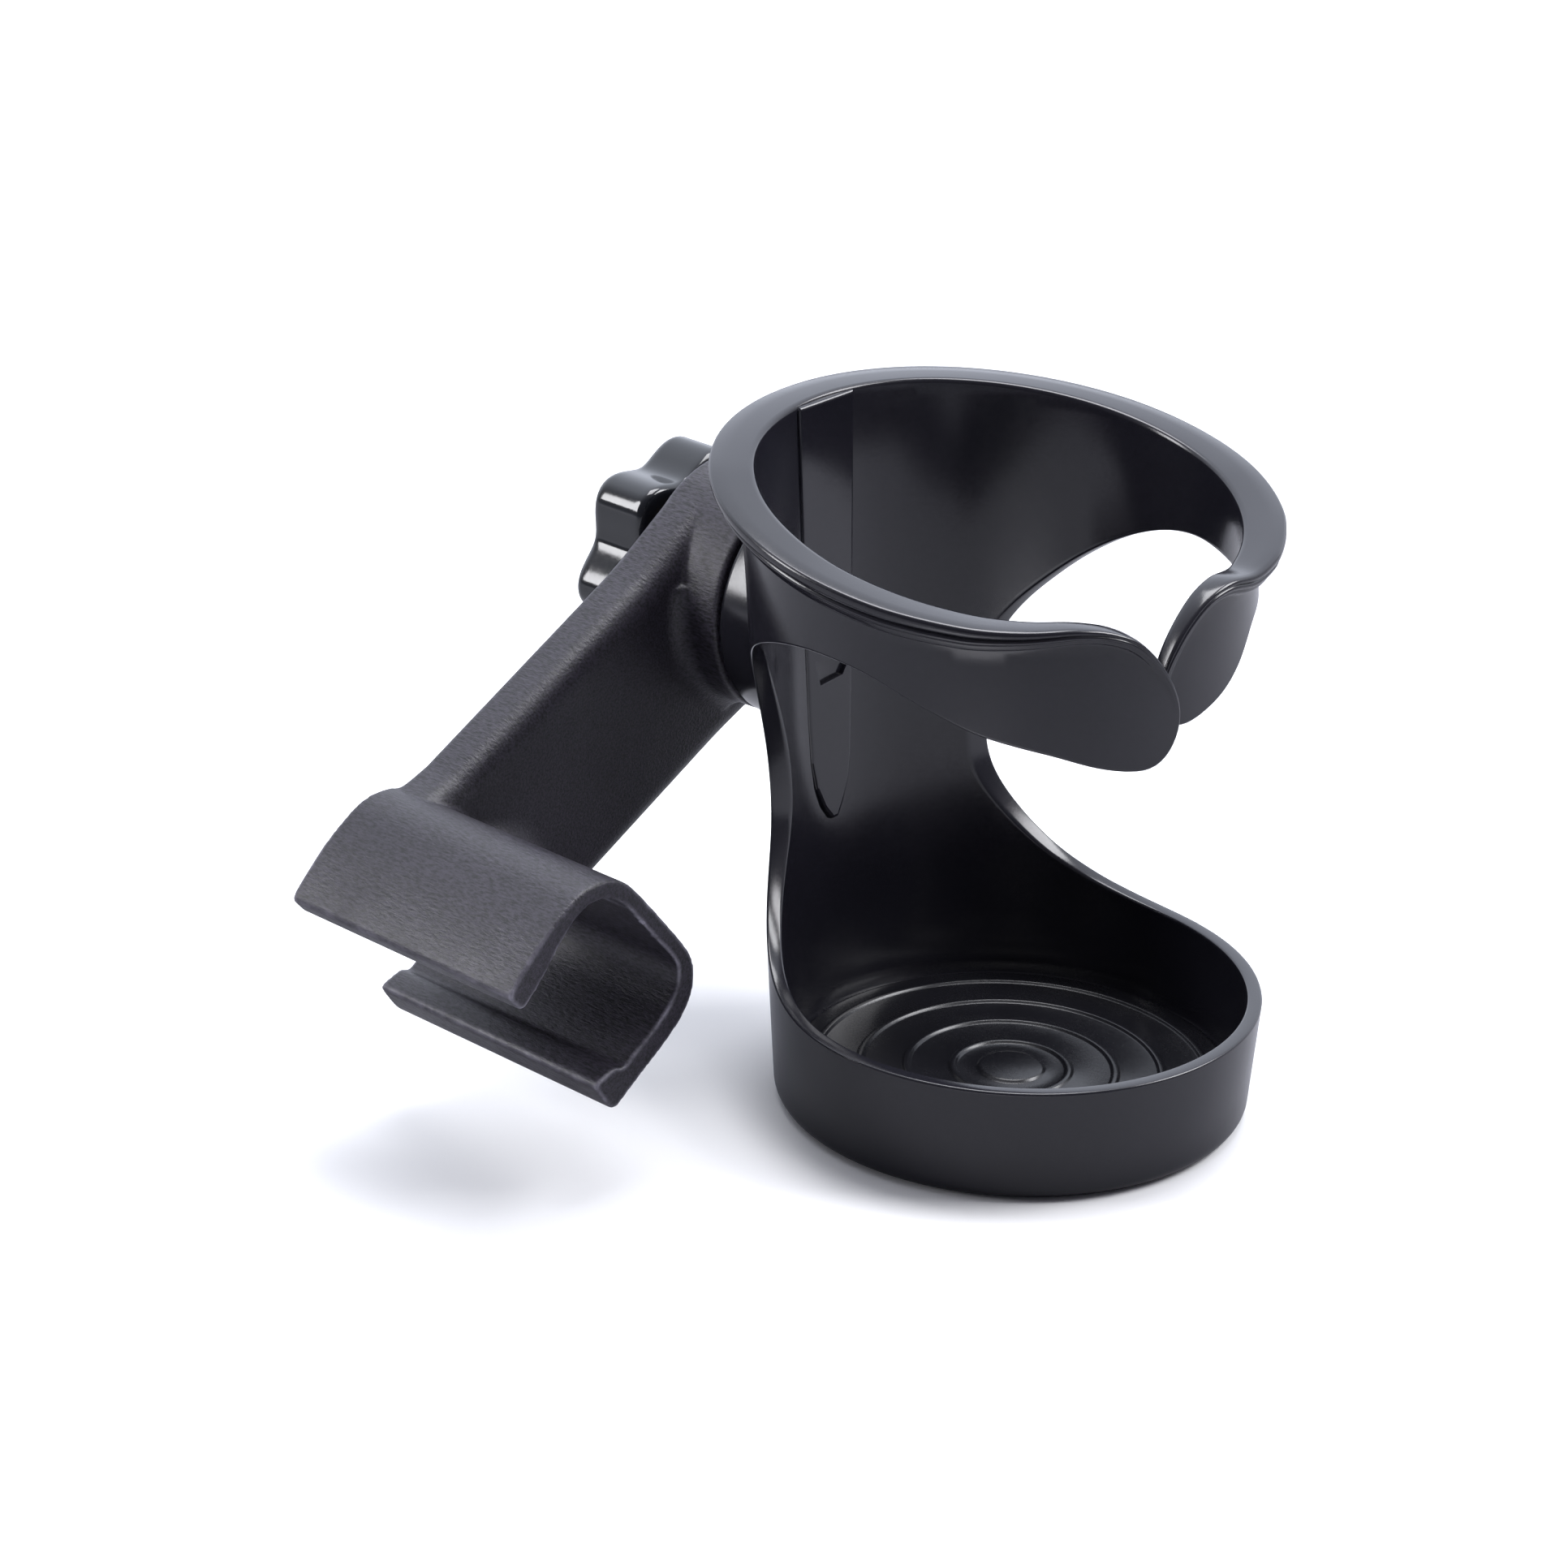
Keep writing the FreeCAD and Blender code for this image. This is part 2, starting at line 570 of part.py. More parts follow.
def arm_prism(runs, outer_x, inner_x):
    """Extrudes a side outline between two distances from the cup axis.

    Each run is (kind, points). "to_web" and "from_web" are splines tangent to the web.
    """
    def at(point):
        return V(-outer_x, 0, 0) + PIVOT + ALONG * point[0] + ACROSS * point[1]
    web_tangent = (at(WEB[1]) - at(WEB[0])).normalize()
    edges = []
    for kind, points in runs:
        where = [at(point) for point in points]
        if kind == "line":
            for start, end in zip(where[:-1], where[1:]):
                edges.append(Part.LineSegment(start, end).toShape())
            continue
        curve = Part.BSplineCurve()
        if kind == "to_web":
            start_tangent = (where[1] - where[0]).normalize()
            curve.interpolate(Points=where, InitialTangent=start_tangent,
                              FinalTangent=web_tangent)
        elif kind == "from_web":
            end_tangent = (where[-1] - where[-2]).normalize()
            curve.interpolate(Points=where, InitialTangent=web_tangent,
                              FinalTangent=end_tangent)
        else:
            curve.interpolate(where)
        edges.append(curve.toShape())
    return Part.Face(Part.Wire(edges)).extrude(V(outer_x - inner_x, 0, 0))


def arm_bar(face_x, back_x):
    """Flat bar, hollowed where the clip's mouth is, its long edges towards the cup rounded."""
    half = dim("arm_half")
    outline = [(0, -half), (66, -half), (85, -15.9), (90, -12.0), (90, 24.0),
               (84, half + 0.6), (80, half), (0, half), (0, -half)]
    bar = arm_prism([("line", outline)], back_x, face_x)
    mouth_end = [INNER_TOP[-1], (130, 16.0), (130, -12.7), INNER_LOW[0]]
    bar = bar.cut(arm_prism(INNER_RUN + [("line", mouth_end)],
                            dim("clip_left") + 1, dim("clip_right") - 1))
    long_edges = []
    for edge in bar.Edges:
        start, end = edge.Vertexes[0].Point, edge.Vertexes[-1].Point
        on_face = abs(start.x + face_x) < 1e-6 and abs(end.x + face_x) < 1e-6
        if on_face and (end - start).Length > 30:
            long_edges.append(edge)
    return bar.makeFillet(4.5, long_edges)


def arm_head(back_x):
    """Round pivot head of the arm."""
    head = Part.makeCylinder(dim("pivot_radius"), back_x - dim("head_face"),
                             V(-back_x, 0, PIVOT_Z), X_AXIS)
    rims = [edge for edge in head.Edges if edge.Curve.TypeId == "Part::GeomCircle"]
    return head.makeFillet(0.8, rims)


def is_neck(edge, face_x):
    """Arc where the head rises from the face of the bar."""
    return (len(edge.Vertexes) == 2 and edge.Curve.TypeId == "Part::GeomCircle"
            and abs(edge.Curve.Radius - dim("pivot_radius")) < 1e-6
            and abs(edge.CenterOfMass.x + face_x) < 1e-3)


def is_root(edge, face_x):
    """Edge where the face of the bar runs into the back of the clip."""
    centre = edge.CenterOfMass
    return (abs(centre.x + face_x) < 0.05 and 70 < (centre - PIVOT).dot(ALONG) < 100
            and edge.Length > 3 and abs(edge.BoundBox.XLength) < 0.05)


def make_arm_bracket():
    face_x, back_x = dim("arm_face"), dim("arm_back")
    clip = arm_prism([("spline", CLIP_OUTER), ("line", LIP_LOW)] + INNER_RUN
                     + [("line", LIP_TOP)], dim("clip_left"), dim("clip_right"))
    arm = arm_bar(face_x, back_x).fuse(arm_head(back_x)).removeSplitter()
    neck = [edge for edge in arm.Edges if is_neck(edge, face_x)]
    arm = first_fillet(arm, neck, (2.5, 1.5, 0.8), lambda trial: trial.Volume > 0)

    # two pockets in the face away from the cup, with a rib between them
    for start, end in CORE_SPANS:
        outline = [(start, -CORE_HALF), (end, -CORE_HALF), (end, CORE_HALF),
                   (start, CORE_HALF), (start, -CORE_HALF)]
        core = arm_prism([("line", outline)], back_x + 0.1, back_x - CORE_DEPTH)
        corners = [edge for edge in core.Edges
                   if abs(edge.Vertexes[0].Point.x - edge.Vertexes[-1].Point.x) > 5]
        arm = arm.cut(core.makeFillet(3.0, corners))

    arm = arm.fuse(clip).removeSplitter()
    root = [edge for edge in arm.Edges if is_root(edge, face_x)]
    arm = first_fillet(arm, root, (4.0, 3.0, 2.0, 1.0), lambda trial: len(trial.Solids) == 1)
    bore = Part.makeCylinder(dim("bush_outer"), 80, V(-100, 0, PIVOT_Z), X_AXIS)
    add_solid("arm_bracket", arm.cut(bore))


# ---------------------------------------------------------------- pivot stack
BORE = size("shank_radius") + size("run_gap")
BUSH_INSET = 0.3        # the bush starts this far inside the arm's pivot face
GROOVE_PLAY = 0.03      # play of the retaining ring in its groove
SPRING_PLACE = dim("arm_back") + dim("bush_rim")
THRUST_PLACE = SPRING_PLACE + dim("disc_rise") + dim("disc_thick") + dim("face_gap")
KNOB_PLACE = THRUST_PLACE + dim("thrust_thick") + dim("face_gap")


def make_pivot_bolt():
    bolt = new_body("pivot_bolt")
    sketch = new_sketch(bolt, "bolt_head_outline", "XY_Plane")
    draw_hexagon(sketch, size("head_flats"))
    pad(bolt, "bolt_head", sketch, size("head_thick"))

    sketch = new_sketch(bolt, "bolt_shank_profile", "XZ_Plane")
    length = size("bolt_end") - size("head_start")
    ring_start = size("clip_place") - size("head_start")
    groove_start = ring_start - GROOVE_PLAY
    groove_end = ring_start + size("clip_thick") + GROOVE_PLAY
    shank_start = size("head_thick") - 0.5      # overlaps the head
    radius, groove, bevel = size("shank_radius"), size("clip_groove"), size("tip_bevel")
    draw_loop(sketch, [
        (0, shank_start), (radius, shank_start), (radius, groove_start),
        (groove, groove_start), (groove, groove_end), (radius, groove_end),
        (radius, length - bevel), (radius - bevel, length), (0, length)])
    revolve(bolt, "bolt_shank", sketch)
    along_pivot(bolt, dim("head_start"))


def make_friction_ring():
    inner, outer, thick = size("ring_inner"), size("ring_outer"), size("ring_thick")
    ring = turned("friction_ring", [(inner, 0), (outer, 0), (outer, thick), (inner, thick)])
    along_pivot(ring, dim("boss_face"))


def make_pivot_bush():
    """Flanged bush; its flange lies on the face of the arm away from the cup."""
    outer, flange = size("bush_outer"), size("bush_flange")
    seat = size("arm_back") - size("head_face") - BUSH_INSET
    end = seat + size("bush_rim")
    bush = turned("pivot_bush", [(BORE, 0), (outer, 0), (outer, seat), (flange, seat),
                                 (flange, end), (BORE, end)])
    along_pivot(bush, dim("head_face") + BUSH_INSET)


def make_spring_washer():
    inner, outer = BORE + 0.3, size("disc_outer")
    rise, thick = size("disc_rise"), size("disc_thick")
    disc = turned("spring_washer", [(inner, rise), (outer, 0), (outer, thick),
                                    (inner, rise + thick)])
    along_pivot(disc, SPRING_PLACE)


def make_thrust_washer():
    outer, thick = size("thrust_outer"), size("thrust_thick")
    bevel = 0.3
    washer = turned("thrust_washer", [
        (BORE, 0), (outer - bevel, 0), (outer, bevel), (outer, thick - bevel),
        (outer - bevel, thick), (BORE, thick)])
    along_pivot(washer, THRUST_PLACE)


def make_bolt_end_clip():
    """Open retaining ring in the groove near the bolt tip."""
    keeper = new_body("bolt_end_clip")
    sketch = new_sketch(keeper, "keeper_outline", "XY_Plane")
    outer = size("clip_outer")
    inner = size("clip_groove") + GROOVE_PLAY
    gap = math.radians(38)      # half angle of the opening
    for radius in (outer.value, inner.value):
        circle = Part.Circle(V(0, 0, 0), Z_AXIS, radius)
        sketch.addGeometry(Part.ArcOfCircle(circle, gap, 2 * math.pi - gap), False)
    for angle in (gap, -gap):
        ray = V(math.cos(angle), math.sin(angle), 0)
        sketch.addGeometry(Part.LineSegment(ray * outer.value, ray * inner.value), False)
    # edge and point, joined to edge and point; both arcs are centred on the origin
    joins = [(0, 3, -1, 1), (1, 3, -1, 1), (0, 1, 2, 1), (1, 1, 2, 2), (0, 2, 3, 1), (1, 2, 3, 2)]
    for join in joins:
        sketch.addConstraint(Sketcher.Constraint("Coincident", *join))
    bind_radius(sketch, 0, outer)
    bind_radius(sketch, 1, inner)
    pad(keeper, "keeper_plate", sketch, size("clip_thick"))
    doc.recompute()
    along_pivot(keeper, dim("clip_place"))


# ---------------------------------------------------------------- knob
KNOB_SPIN = 16.5        # degrees about the pivot axis
INSERT_START = 0.6      # the nut starts this far into the knob
POINTS_PER_LOBE = 12
KNOB_LENGTH = dim("hub_length") + dim("knob_width")


def make_knob_body():
    count = int(dim("knob_count"))
    steps = count * POINTS_PER_LOBE
    points = []
    for i in range(steps):
        angle = 2 * math.pi * i / steps
        radius = dim("knob_radius") + dim("knob_lobe") * math.cos(count * angle)
        points.append(V(radius * math.cos(angle), radius * math.sin(angle), 0))
    curve = Part.BSplineCurve()
    curve.interpolate(points, PeriodicFlag=True)
    grip = Part.Face(Part.Wire([curve.toShape()])).extrude(V(0, 0, dim("knob_width")))
    rims = [edge for edge in grip.Edges if abs(edge.BoundBox.ZLength) < 1e-6]
    grip = first_fillet(grip, rims, (1.6, 1.2, 0.8))
    grip.translate(V(0, 0, dim("hub_length")))
    knob = grip.fuse(Part.makeCylinder(dim("knob_hub"), dim("hub_length") + 1.0))

    # nut pocket, bolt hole, well behind the nut, then the recess and dish for the cap
    nut_length = dim("insert_length")
    cap_radius = dim("cap_radius")
    dish_depth = 0.8
    corners = [V(x, y, INSERT_START) for x, y in hexagon_corners(dim("insert_flats"))]
    cutters = [
        polygon_prism(corners, V(0, 0, nut_length)),
        Part.makeCylinder(dim("shank_radius") + 0.4, 5, V(0, 0, -1)),
        Part.makeCylinder(dim("well_radius"), KNOB_LENGTH, V(0, 0, INSERT_START + nut_length)),
        Part.makeCylinder(cap_radius, 10, V(0, 0, KNOB_LENGTH - dim("cap_thick"))),
        Part.makeCone(cap_radius, cap_radius + 1.0, dish_depth,
                      V(0, 0, KNOB_LENGTH - dish_depth)),
    ]
    for cutter in cutters:
        knob = knob.cut(cutter)
    along_pivot(add_solid("knob_body", knob.removeSplitter()), KNOB_PLACE, KNOB_SPIN)


def make_knob_insert():
    nut = new_body("knob_insert")
    sketch = new_sketch(nut, "insert_outline", "XY_Plane")
    draw_hexagon(sketch, size("insert_flats"))
    pad(nut, "insert_block", sketch, size("insert_length"))
    doc.recompute()
    sketch = new_sketch(nut, "insert_bore_outline", "XY_Plane")
    sketch.addGeometry(Part.Circle(V(0, 0, 0), Z_AXIS, BORE.value), False)
    sketch.addConstraint(Sketcher.Constraint("Coincident", 0, 3, -1, 1))
    bind_radius(sketch, 0, BORE)
    pocket = nut.newObject("PartDesign::Pocket", "insert_bore")
    pocket.Profile = sketch
    pocket.Type = 1     # through all
    pocket.Reversed = True
    nut.Tip = pocket
    doc.recompute()
    along_pivot(nut, KNOB_PLACE + INSERT_START, KNOB_SPIN)


def make_knob_cap():
    """Slightly domed plate closing the well of the knob."""
    thick, radius = size("cap_thick"), size("cap_radius")
    edge = radius - 0.05
    cap = turned("knob_cap", [
        (0, 0), (edge, 0), (edge, thick * 0.55), (radius * 0.8, thick * 0.85),
        (radius * 0.45, thick + 0.15), (0, thick + 0.25)])
    along_pivot(cap, KNOB_PLACE + KNOB_LENGTH - dim("cap_thick"))


# ---------------------------------------------------------------- floor mat
RIB_RADII = (34.0, 26.0, 18.0, 10.0)    # for a mat of radius RIB_SCALE
RIB_SCALE = 38.0


def make_floor_mat():
    """Round mat with ring-shaped ribs and a raised centre."""
    radius, thick = size("mat_radius"), size("mat_thick")
    high = thick + size("mat_rib")
    profile = [(0, 0), (radius, 0), (radius, thick - 0.4), (radius - 0.4, thick)]
    for rib_radius in RIB_RADII:
        rib = radius * (rib_radius / RIB_SCALE)
        profile += [(rib + 0.9, thick), (rib + 0.5, high), (rib - 0.5, high), (rib - 0.9, thick)]
    profile += [(6.5, thick), (6.1, high), (0, high)]
    mat = turned("floor_mat", profile)
    mat.Placement = FreeCAD.Placement(V(0, 0, dim("floor_thick")), FreeCAD.Rotation())
    mat.setExpression("Placement.Base.z", "dims.floor_thick")


# ---------------------------------------------------------------- build and export
make_cup_shell()
make_spine_cover()
make_arm_bracket()
make_pivot_bolt()
make_friction_ring()
make_pivot_bush()
make_spring_washer()
make_thrust_washer()
make_knob_body()
make_knob_insert()
make_knob_cap()
make_bolt_end_clip()
make_floor_mat()
doc.recompute()

NODES = ["cup_shell", "floor_mat", "spine_cover", "pivot_bolt", "friction_ring",
         "bolt_end_clip", "arm_bracket", "pivot_bush", "spring_washer", "thrust_washer",
         "knob_body", "knob_insert", "knob_cap"]
for obj in doc.Objects:
    if "Invalid" in obj.State or "Error" in obj.State:
        raise RuntimeError("object in error: %s %s" % (obj.Name, obj.State))
os.makedirs("parts", exist_ok=True)
for node in NODES:
    shape = doc.getObjectsByLabel(node)[0].Shape
    if shape.isNull() or not shape.isValid() or len(shape.Solids) != 1 or shape.Volume <= 0:
        raise RuntimeError("bad shape: " + node)
    shape.exportStep("parts/%s.step" % node)
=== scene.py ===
"""Tilting cup holder: an open-sided cup, an arm with a C clip, and a lobed knob on the pivot.

The cup stands on z = 0 about the z axis. Its opening faces +x, turned a little towards -y.
The pivot axis runs along x through the back of the cup; arm and knob lie behind it, at -x.
The arm slopes down towards -y. "Near" is the -y side and "far" the +y side.
Shapes are worked out in millimetres and stored in metres; stage, lights and camera use metres.
"""
import json
import math

import bmesh
import bpy
import numpy as np
from mathutils import Matrix, Vector
from mathutils.geometry import delaunay_2d_cdt


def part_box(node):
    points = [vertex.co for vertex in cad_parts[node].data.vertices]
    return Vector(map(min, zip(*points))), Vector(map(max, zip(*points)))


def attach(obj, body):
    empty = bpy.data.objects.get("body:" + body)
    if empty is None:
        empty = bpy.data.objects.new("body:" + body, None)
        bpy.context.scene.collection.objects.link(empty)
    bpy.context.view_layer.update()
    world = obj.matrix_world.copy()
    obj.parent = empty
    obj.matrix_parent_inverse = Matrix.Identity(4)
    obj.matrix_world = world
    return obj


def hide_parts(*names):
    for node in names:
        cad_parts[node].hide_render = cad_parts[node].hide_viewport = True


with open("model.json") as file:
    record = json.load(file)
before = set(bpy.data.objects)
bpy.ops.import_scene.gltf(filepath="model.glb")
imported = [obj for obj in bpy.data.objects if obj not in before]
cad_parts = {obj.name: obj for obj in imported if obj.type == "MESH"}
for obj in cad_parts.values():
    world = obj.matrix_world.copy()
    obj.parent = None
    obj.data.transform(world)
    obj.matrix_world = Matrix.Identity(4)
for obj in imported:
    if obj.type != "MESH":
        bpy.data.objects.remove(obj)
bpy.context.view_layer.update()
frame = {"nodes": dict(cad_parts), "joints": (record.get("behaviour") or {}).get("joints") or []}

MM = 0.001
PIVOT_Z = next((joint["pos_m"][2] * 1000.0 for joint in frame["joints"]
                if joint.get("name") == "cup_tilt"), 82.7)
PIVOT = np.array([0, 0, PIVOT_Z])
BOSS_RADIUS = 22.8             # drum on the cup and drum at the head of the arm
WELD = 0.002                   # points closer than this are merged


# ------------------------------------------------------------------ curves and arrays
def smoothstep(x, start, end):
    t = np.clip((np.asarray(x, float) - start) / (end - start), 0.0, 1.0)
    return t * t * (3 - 2 * t)


def unit_rows(rows):
    return rows / np.linalg.norm(rows, axis=1)[:, None]


def soften(values, passes=1):
    """Averages neighbours along the first axis, ends kept."""
    for _ in range(passes):
        softer = values.copy()
        softer[1:-1] = (values[:-2] + 2 * values[1:-1] + values[2:]) / 4
        values = softer
    return values


SPLINE_STEPS = 24


def spline(points, steps=SPLINE_STEPS):
    """Centripetal Catmull-Rom curve through the points."""
    p = np.asarray(points, float)
    p = np.vstack([2 * p[0] - p[1], p, 2 * p[-1] - p[-2]])
    out = []
    for i in range(1, len(p) - 2):
        q = p[i - 1:i + 3]
        gaps = [max(np.linalg.norm(q[k + 1] - q[k]), 1e-6) ** 0.5 for k in range(3)]
        knot = np.cumsum([0.0, *gaps])
        t = np.linspace(knot[1], knot[2], steps, endpoint=False)[:, None]

        def blend(a, b, i_a, i_b):
            start, end = knot[i_a], knot[i_b]
            return (end - t) / (end - start) * a + (t - start) / (end - start) * b

        first = [blend(q[k], q[k + 1], k, k + 1) for k in range(3)]
        second = [blend(first[k], first[k + 1], k, k + 2) for k in range(2)]
        out.append(blend(second[0], second[1], 1, 2))
    out.append(p[-2][None, :])
    return np.vstack(out)


def even(points, step):
    """Evenly spaced points along a polyline, ends kept."""
    p = np.asarray(points, float)
    run = np.r_[0, np.cumsum(np.linalg.norm(np.diff(p, axis=0), axis=1))]
    count = max(2, int(round(run[-1] / step)) + 1)
    t = np.linspace(0, run[-1], count)
    return np.column_stack([np.interp(t, run, p[:, k]) for k in range(p.shape[1])])


def rounded(outline, radius, steps):
    """Rounds the corners of a closed 2D outline."""
    p = np.asarray(outline, float)
    out = []
    for i, corner in enumerate(p):
        back, ahead = p[i - 1] - corner, p[(i + 1) % len(p)] - corner
        len_back, len_ahead = np.linalg.norm(back), np.linalg.norm(ahead)
        cut = min(radius, len_back * 0.4, len_ahead * 0.4)
        start, end = corner + back / len_back * cut, corner + ahead / len_ahead * cut
        for t in np.linspace(0, 1, steps + 1):
            out.append(tuple((1 - t) ** 2 * start + 2 * t * (1 - t) * corner + t * t * end))
    return out


# ------------------------------------------------------------------ mesh helpers
class MeshDraft:
    """Collects points in millimetres and faces, then builds one welded object."""

    def __init__(self):
        self.points, self.faces, self.count = [], [], 0

    def add(self, points):
        points = np.asarray(points, float).reshape(-1, 3)
        self.points.append(points)
        start = self.count
        self.count += len(points)
        return start

    def grid(self, rows, wrap=False):
        """Quads between rows of points; wrap closes each row into a ring."""
        rows = np.asarray(rows, float)
        row_count, width = rows.shape[:2]
        start = self.add(rows)
        for a in range(row_count - 1):
            for b in range(width if wrap else width - 1):
                this, after, b2 = start + a * width, start + (a + 1) * width, (b + 1) % width
                self.faces.append((this + b, this + b2, after + b2, after + b))

    def cap(self, row):
        start = self.add(row)
        self.faces.append(tuple(range(start, start + len(row))))

    def build(self, name):
        mesh = bpy.data.meshes.new(name)
        mesh.from_pydata([tuple(p) for p in np.vstack(self.points) * MM], [], self.faces)
        bm = bmesh.new()
        bm.from_mesh(mesh)
        bmesh.ops.remove_doubles(bm, verts=bm.verts, dist=WELD * MM)
        bmesh.ops.dissolve_degenerate(bm, dist=1e-7, edges=bm.edges)
        bmesh.ops.recalc_face_normals(bm, faces=bm.faces)
        loose = [v for v in bm.verts if not v.link_faces]
        if loose:
            bmesh.ops.delete(bm, geom=loose, context="VERTS")
        bm.to_mesh(mesh)
        bm.free()
        shade(mesh, True)
        mesh.update()
        return new_object(name, mesh)


def new_object(name, data):
    ob = bpy.data.objects.new(name, data)
    bpy.context.scene.collection.objects.link(ob)
    return ob


def shade(mesh, smooth):
    for face in mesh.polygons:
        face.use_smooth = smooth


def triangulate(mesh, over):
    """Splits the faces that have more than the given number of corners."""
    bm = bmesh.new()
    bm.from_mesh(mesh)
    bmesh.ops.triangulate(bm, faces=[f for f in bm.faces if len(f.verts) > over])
    bm.to_mesh(mesh)
    bm.free()


def apply_modifiers(ob):
    depsgraph = bpy.context.evaluated_depsgraph_get()
    mesh = bpy.data.meshes.new_from_object(ob.evaluated_get(depsgraph))
    old = ob.data
    ob.modifiers.clear()
    ob.data = mesh
    bpy.data.meshes.remove(old)
    shade(mesh, True)


def boolean(ob, tool, operation):
    modifier = ob.modifiers.new("b", "BOOLEAN")
    modifier.operation = operation
    modifier.solver = "EXACT"
    modifier.object = tool
    apply_modifiers(ob)
    bpy.data.objects.remove(tool, do_unlink=True)


def turned(name, profile, origin, axis="x", segments=96, turn=0.0):
    """Closed lathe shape. Profile: (radius, length); length runs to -x, or to +z for axis "z".

    A radius may also be an array with one value per segment.
    """
    angle = np.linspace(0, 2 * math.pi, segments + 1)[:-1] + turn
    ca, sa = np.cos(angle), np.sin(angle)
    x, y, z = origin
    rows = []
    for radius, length in profile:
        if axis == "x":
            flat = np.full(segments, x - length)
            rows.append(np.column_stack([flat, y + radius * ca, z + radius * sa]))
        else:
            flat = np.full(segments, z + length)
            rows.append(np.column_stack([x + radius * ca, y + radius * sa, flat]))
    rows.append(rows[0])
    draft = MeshDraft()
    draft.grid(rows, wrap=True)
    return draft.build(name)


def fit(part, body, piece):
    """Hangs a part on a moving body in place of a CAD piece."""
    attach(part, body)
    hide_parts(piece)


# ------------------------------------------------------------------ cup wall
def rotation(axis, degrees):
    return np.array(Matrix.Rotation(math.radians(degrees), 3, Vector(axis)))


NEAR, FAR = -1, 1              # the two halves of the wall, at -y and +y
CUP_YAW = math.radians(-8.5)
EX = np.array([math.cos(CUP_YAW), math.sin(CUP_YAW), 0.0])     # from the back to the front
EY = np.array([-math.sin(CUP_YAW), math.cos(CUP_YAW), 0.0])
UPRIGHT = np.eye(3)
RIM_TILT = rotation((0, 1, 0), 8.2) @ rotation((1, 0, 0), 1.65)
SILL_CENTRE = np.array([-0.1, 0, 22.2])
RIM_CENTRE = np.array([-9.8, 0.0, 115.4])
# rings that the wall is stretched between: outer radius, centre, tilt
STATIONS = [
    (44.0, np.array([0.0, 0, 0]), UPRIGHT),
    (45.6, SILL_CENTRE, UPRIGHT),
    (45.8, np.array([-1.9, 0, 42.2]), UPRIGHT),
    (46.6, RIM_CENTRE, RIM_TILT),
    (46.75, RIM_CENTRE + RIM_TILT @ np.array([-1.3, 0, 12.0]), RIM_TILT),
]
RIM_STATION = 3
WALL = 2.8                     # wall thickness
NEAR_OUT, FAR_IN = 1.6, 1.4    # how far the near arm leans out and the far arm leans in
FLAT_RADIUS = 46.0             # turns degrees into mm along the unrolled wall
HALF_TURN = math.radians(180.0) * FLAT_RADIUS
BASE_STEPS = 97                # points round half of the base
OUTER_BASE_Z, INNER_BASE_Z = 2.7, 6.4    # where the two skins meet the underside and the floor

# turn from the front, and how far the rim lies below its ring there
RIM_DIP = (
    [-180, -125, -98, -82, -60, -45, -35, 0, 30, 50, 75, 110, 180],
    [-0.8, -0.6, 0.2, 0.9, 1.5, 1.8, 1.6, 1.2, 0.9, 0.2, -0.5, -0.8, -0.8])

# edge of the opening from the front sill to the back: (distance along EX, height)
TUB = [
    (46.0, 22.2), (34.0, 22.2), (20.0, 22.2), (6.0, 22.2), (-1.0, 22.3), (-8.0, 22.6),
    (-14.0, 23.4), (-20.0, 25.0), (-24.8, 27.3), (-28.4, 29.8), (-31.3, 32.7), (-33.8, 35.9),
    (-36.0, 39.4), (-37.8, 43.0), (-39.2, 47.0), (-40.1, 52.0), (-40.5, 58.0)]
# lower edge of each arm from the back to the front: (distance along EX, height)
NEAR_LOW = [
    (-40.2, 65.0), (-39.3, 71.0), (-37.5, 77.5), (-34.2, 83.6), (-28.6, 88.5), (-21.4, 92.4),
    (-14.2, 95.0), (-6.0, 96.6), (0.0, 96.7), (6.5, 95.9), (16.8, 92.0), (25.0, 88.0)]
FAR_LOW = [
    (-40.4, 66.0), (-39.8, 73.0), (-37.3, 78.8), (-33.8, 83.7), (-29.4, 88.5), (-24.6, 92.4),
    (-20.0, 95.2), (-14.0, 97.8), (-8.0, 99.3), (-2.6, 99.8), (5.0, 99.4), (14.0, 98.9)]
# rounded tip of each arm, at the front: (distance along EY, height)
NEAR_TIP = [
    (-25.0, 84.8), (-18.0, 82.2), (-12.0, 80.9), (-8.0, 80.8), (-4.6, 82.8), (-2.0, 87.2),
    (-1.7, 90.6), (-3.4, 95.6), (-7.4, 101.3), (-10.4, 104.3), (-13.5, 106.0),
    (-16.5, 107.1), (-22.0, 108.1)]
FAR_TIP = [
    (13.0, 109.6), (8.5, 108.6), (5.3, 106.9), (2.7, 104.7), (0.4, 102.2), (-1.9, 98.8),
    (-3.4, 95.4), (-3.9, 91.6), (-3.0, 88.0), (-0.4, 86.0), (3.2, 86.0), (6.8, 86.9),
    (11.8, 88.5), (15.9, 90.5), (19.2, 92.6), (22.1, 95.0), (24.9, 97.0), (28.9, 98.1)]

# turn from the front, and share of the full rim flange there
NEAR_SHARE = [-180, -64, -48, -34, -22, -12, -5], [1, 1, 0.85, 0.55, 0.34, 0.22, 0.10]
FAR_SHARE = [-3, 4, 12, 22, 38, 55, 180], [0.12, 0.2, 0.32, 0.5, 0.85, 1, 1]

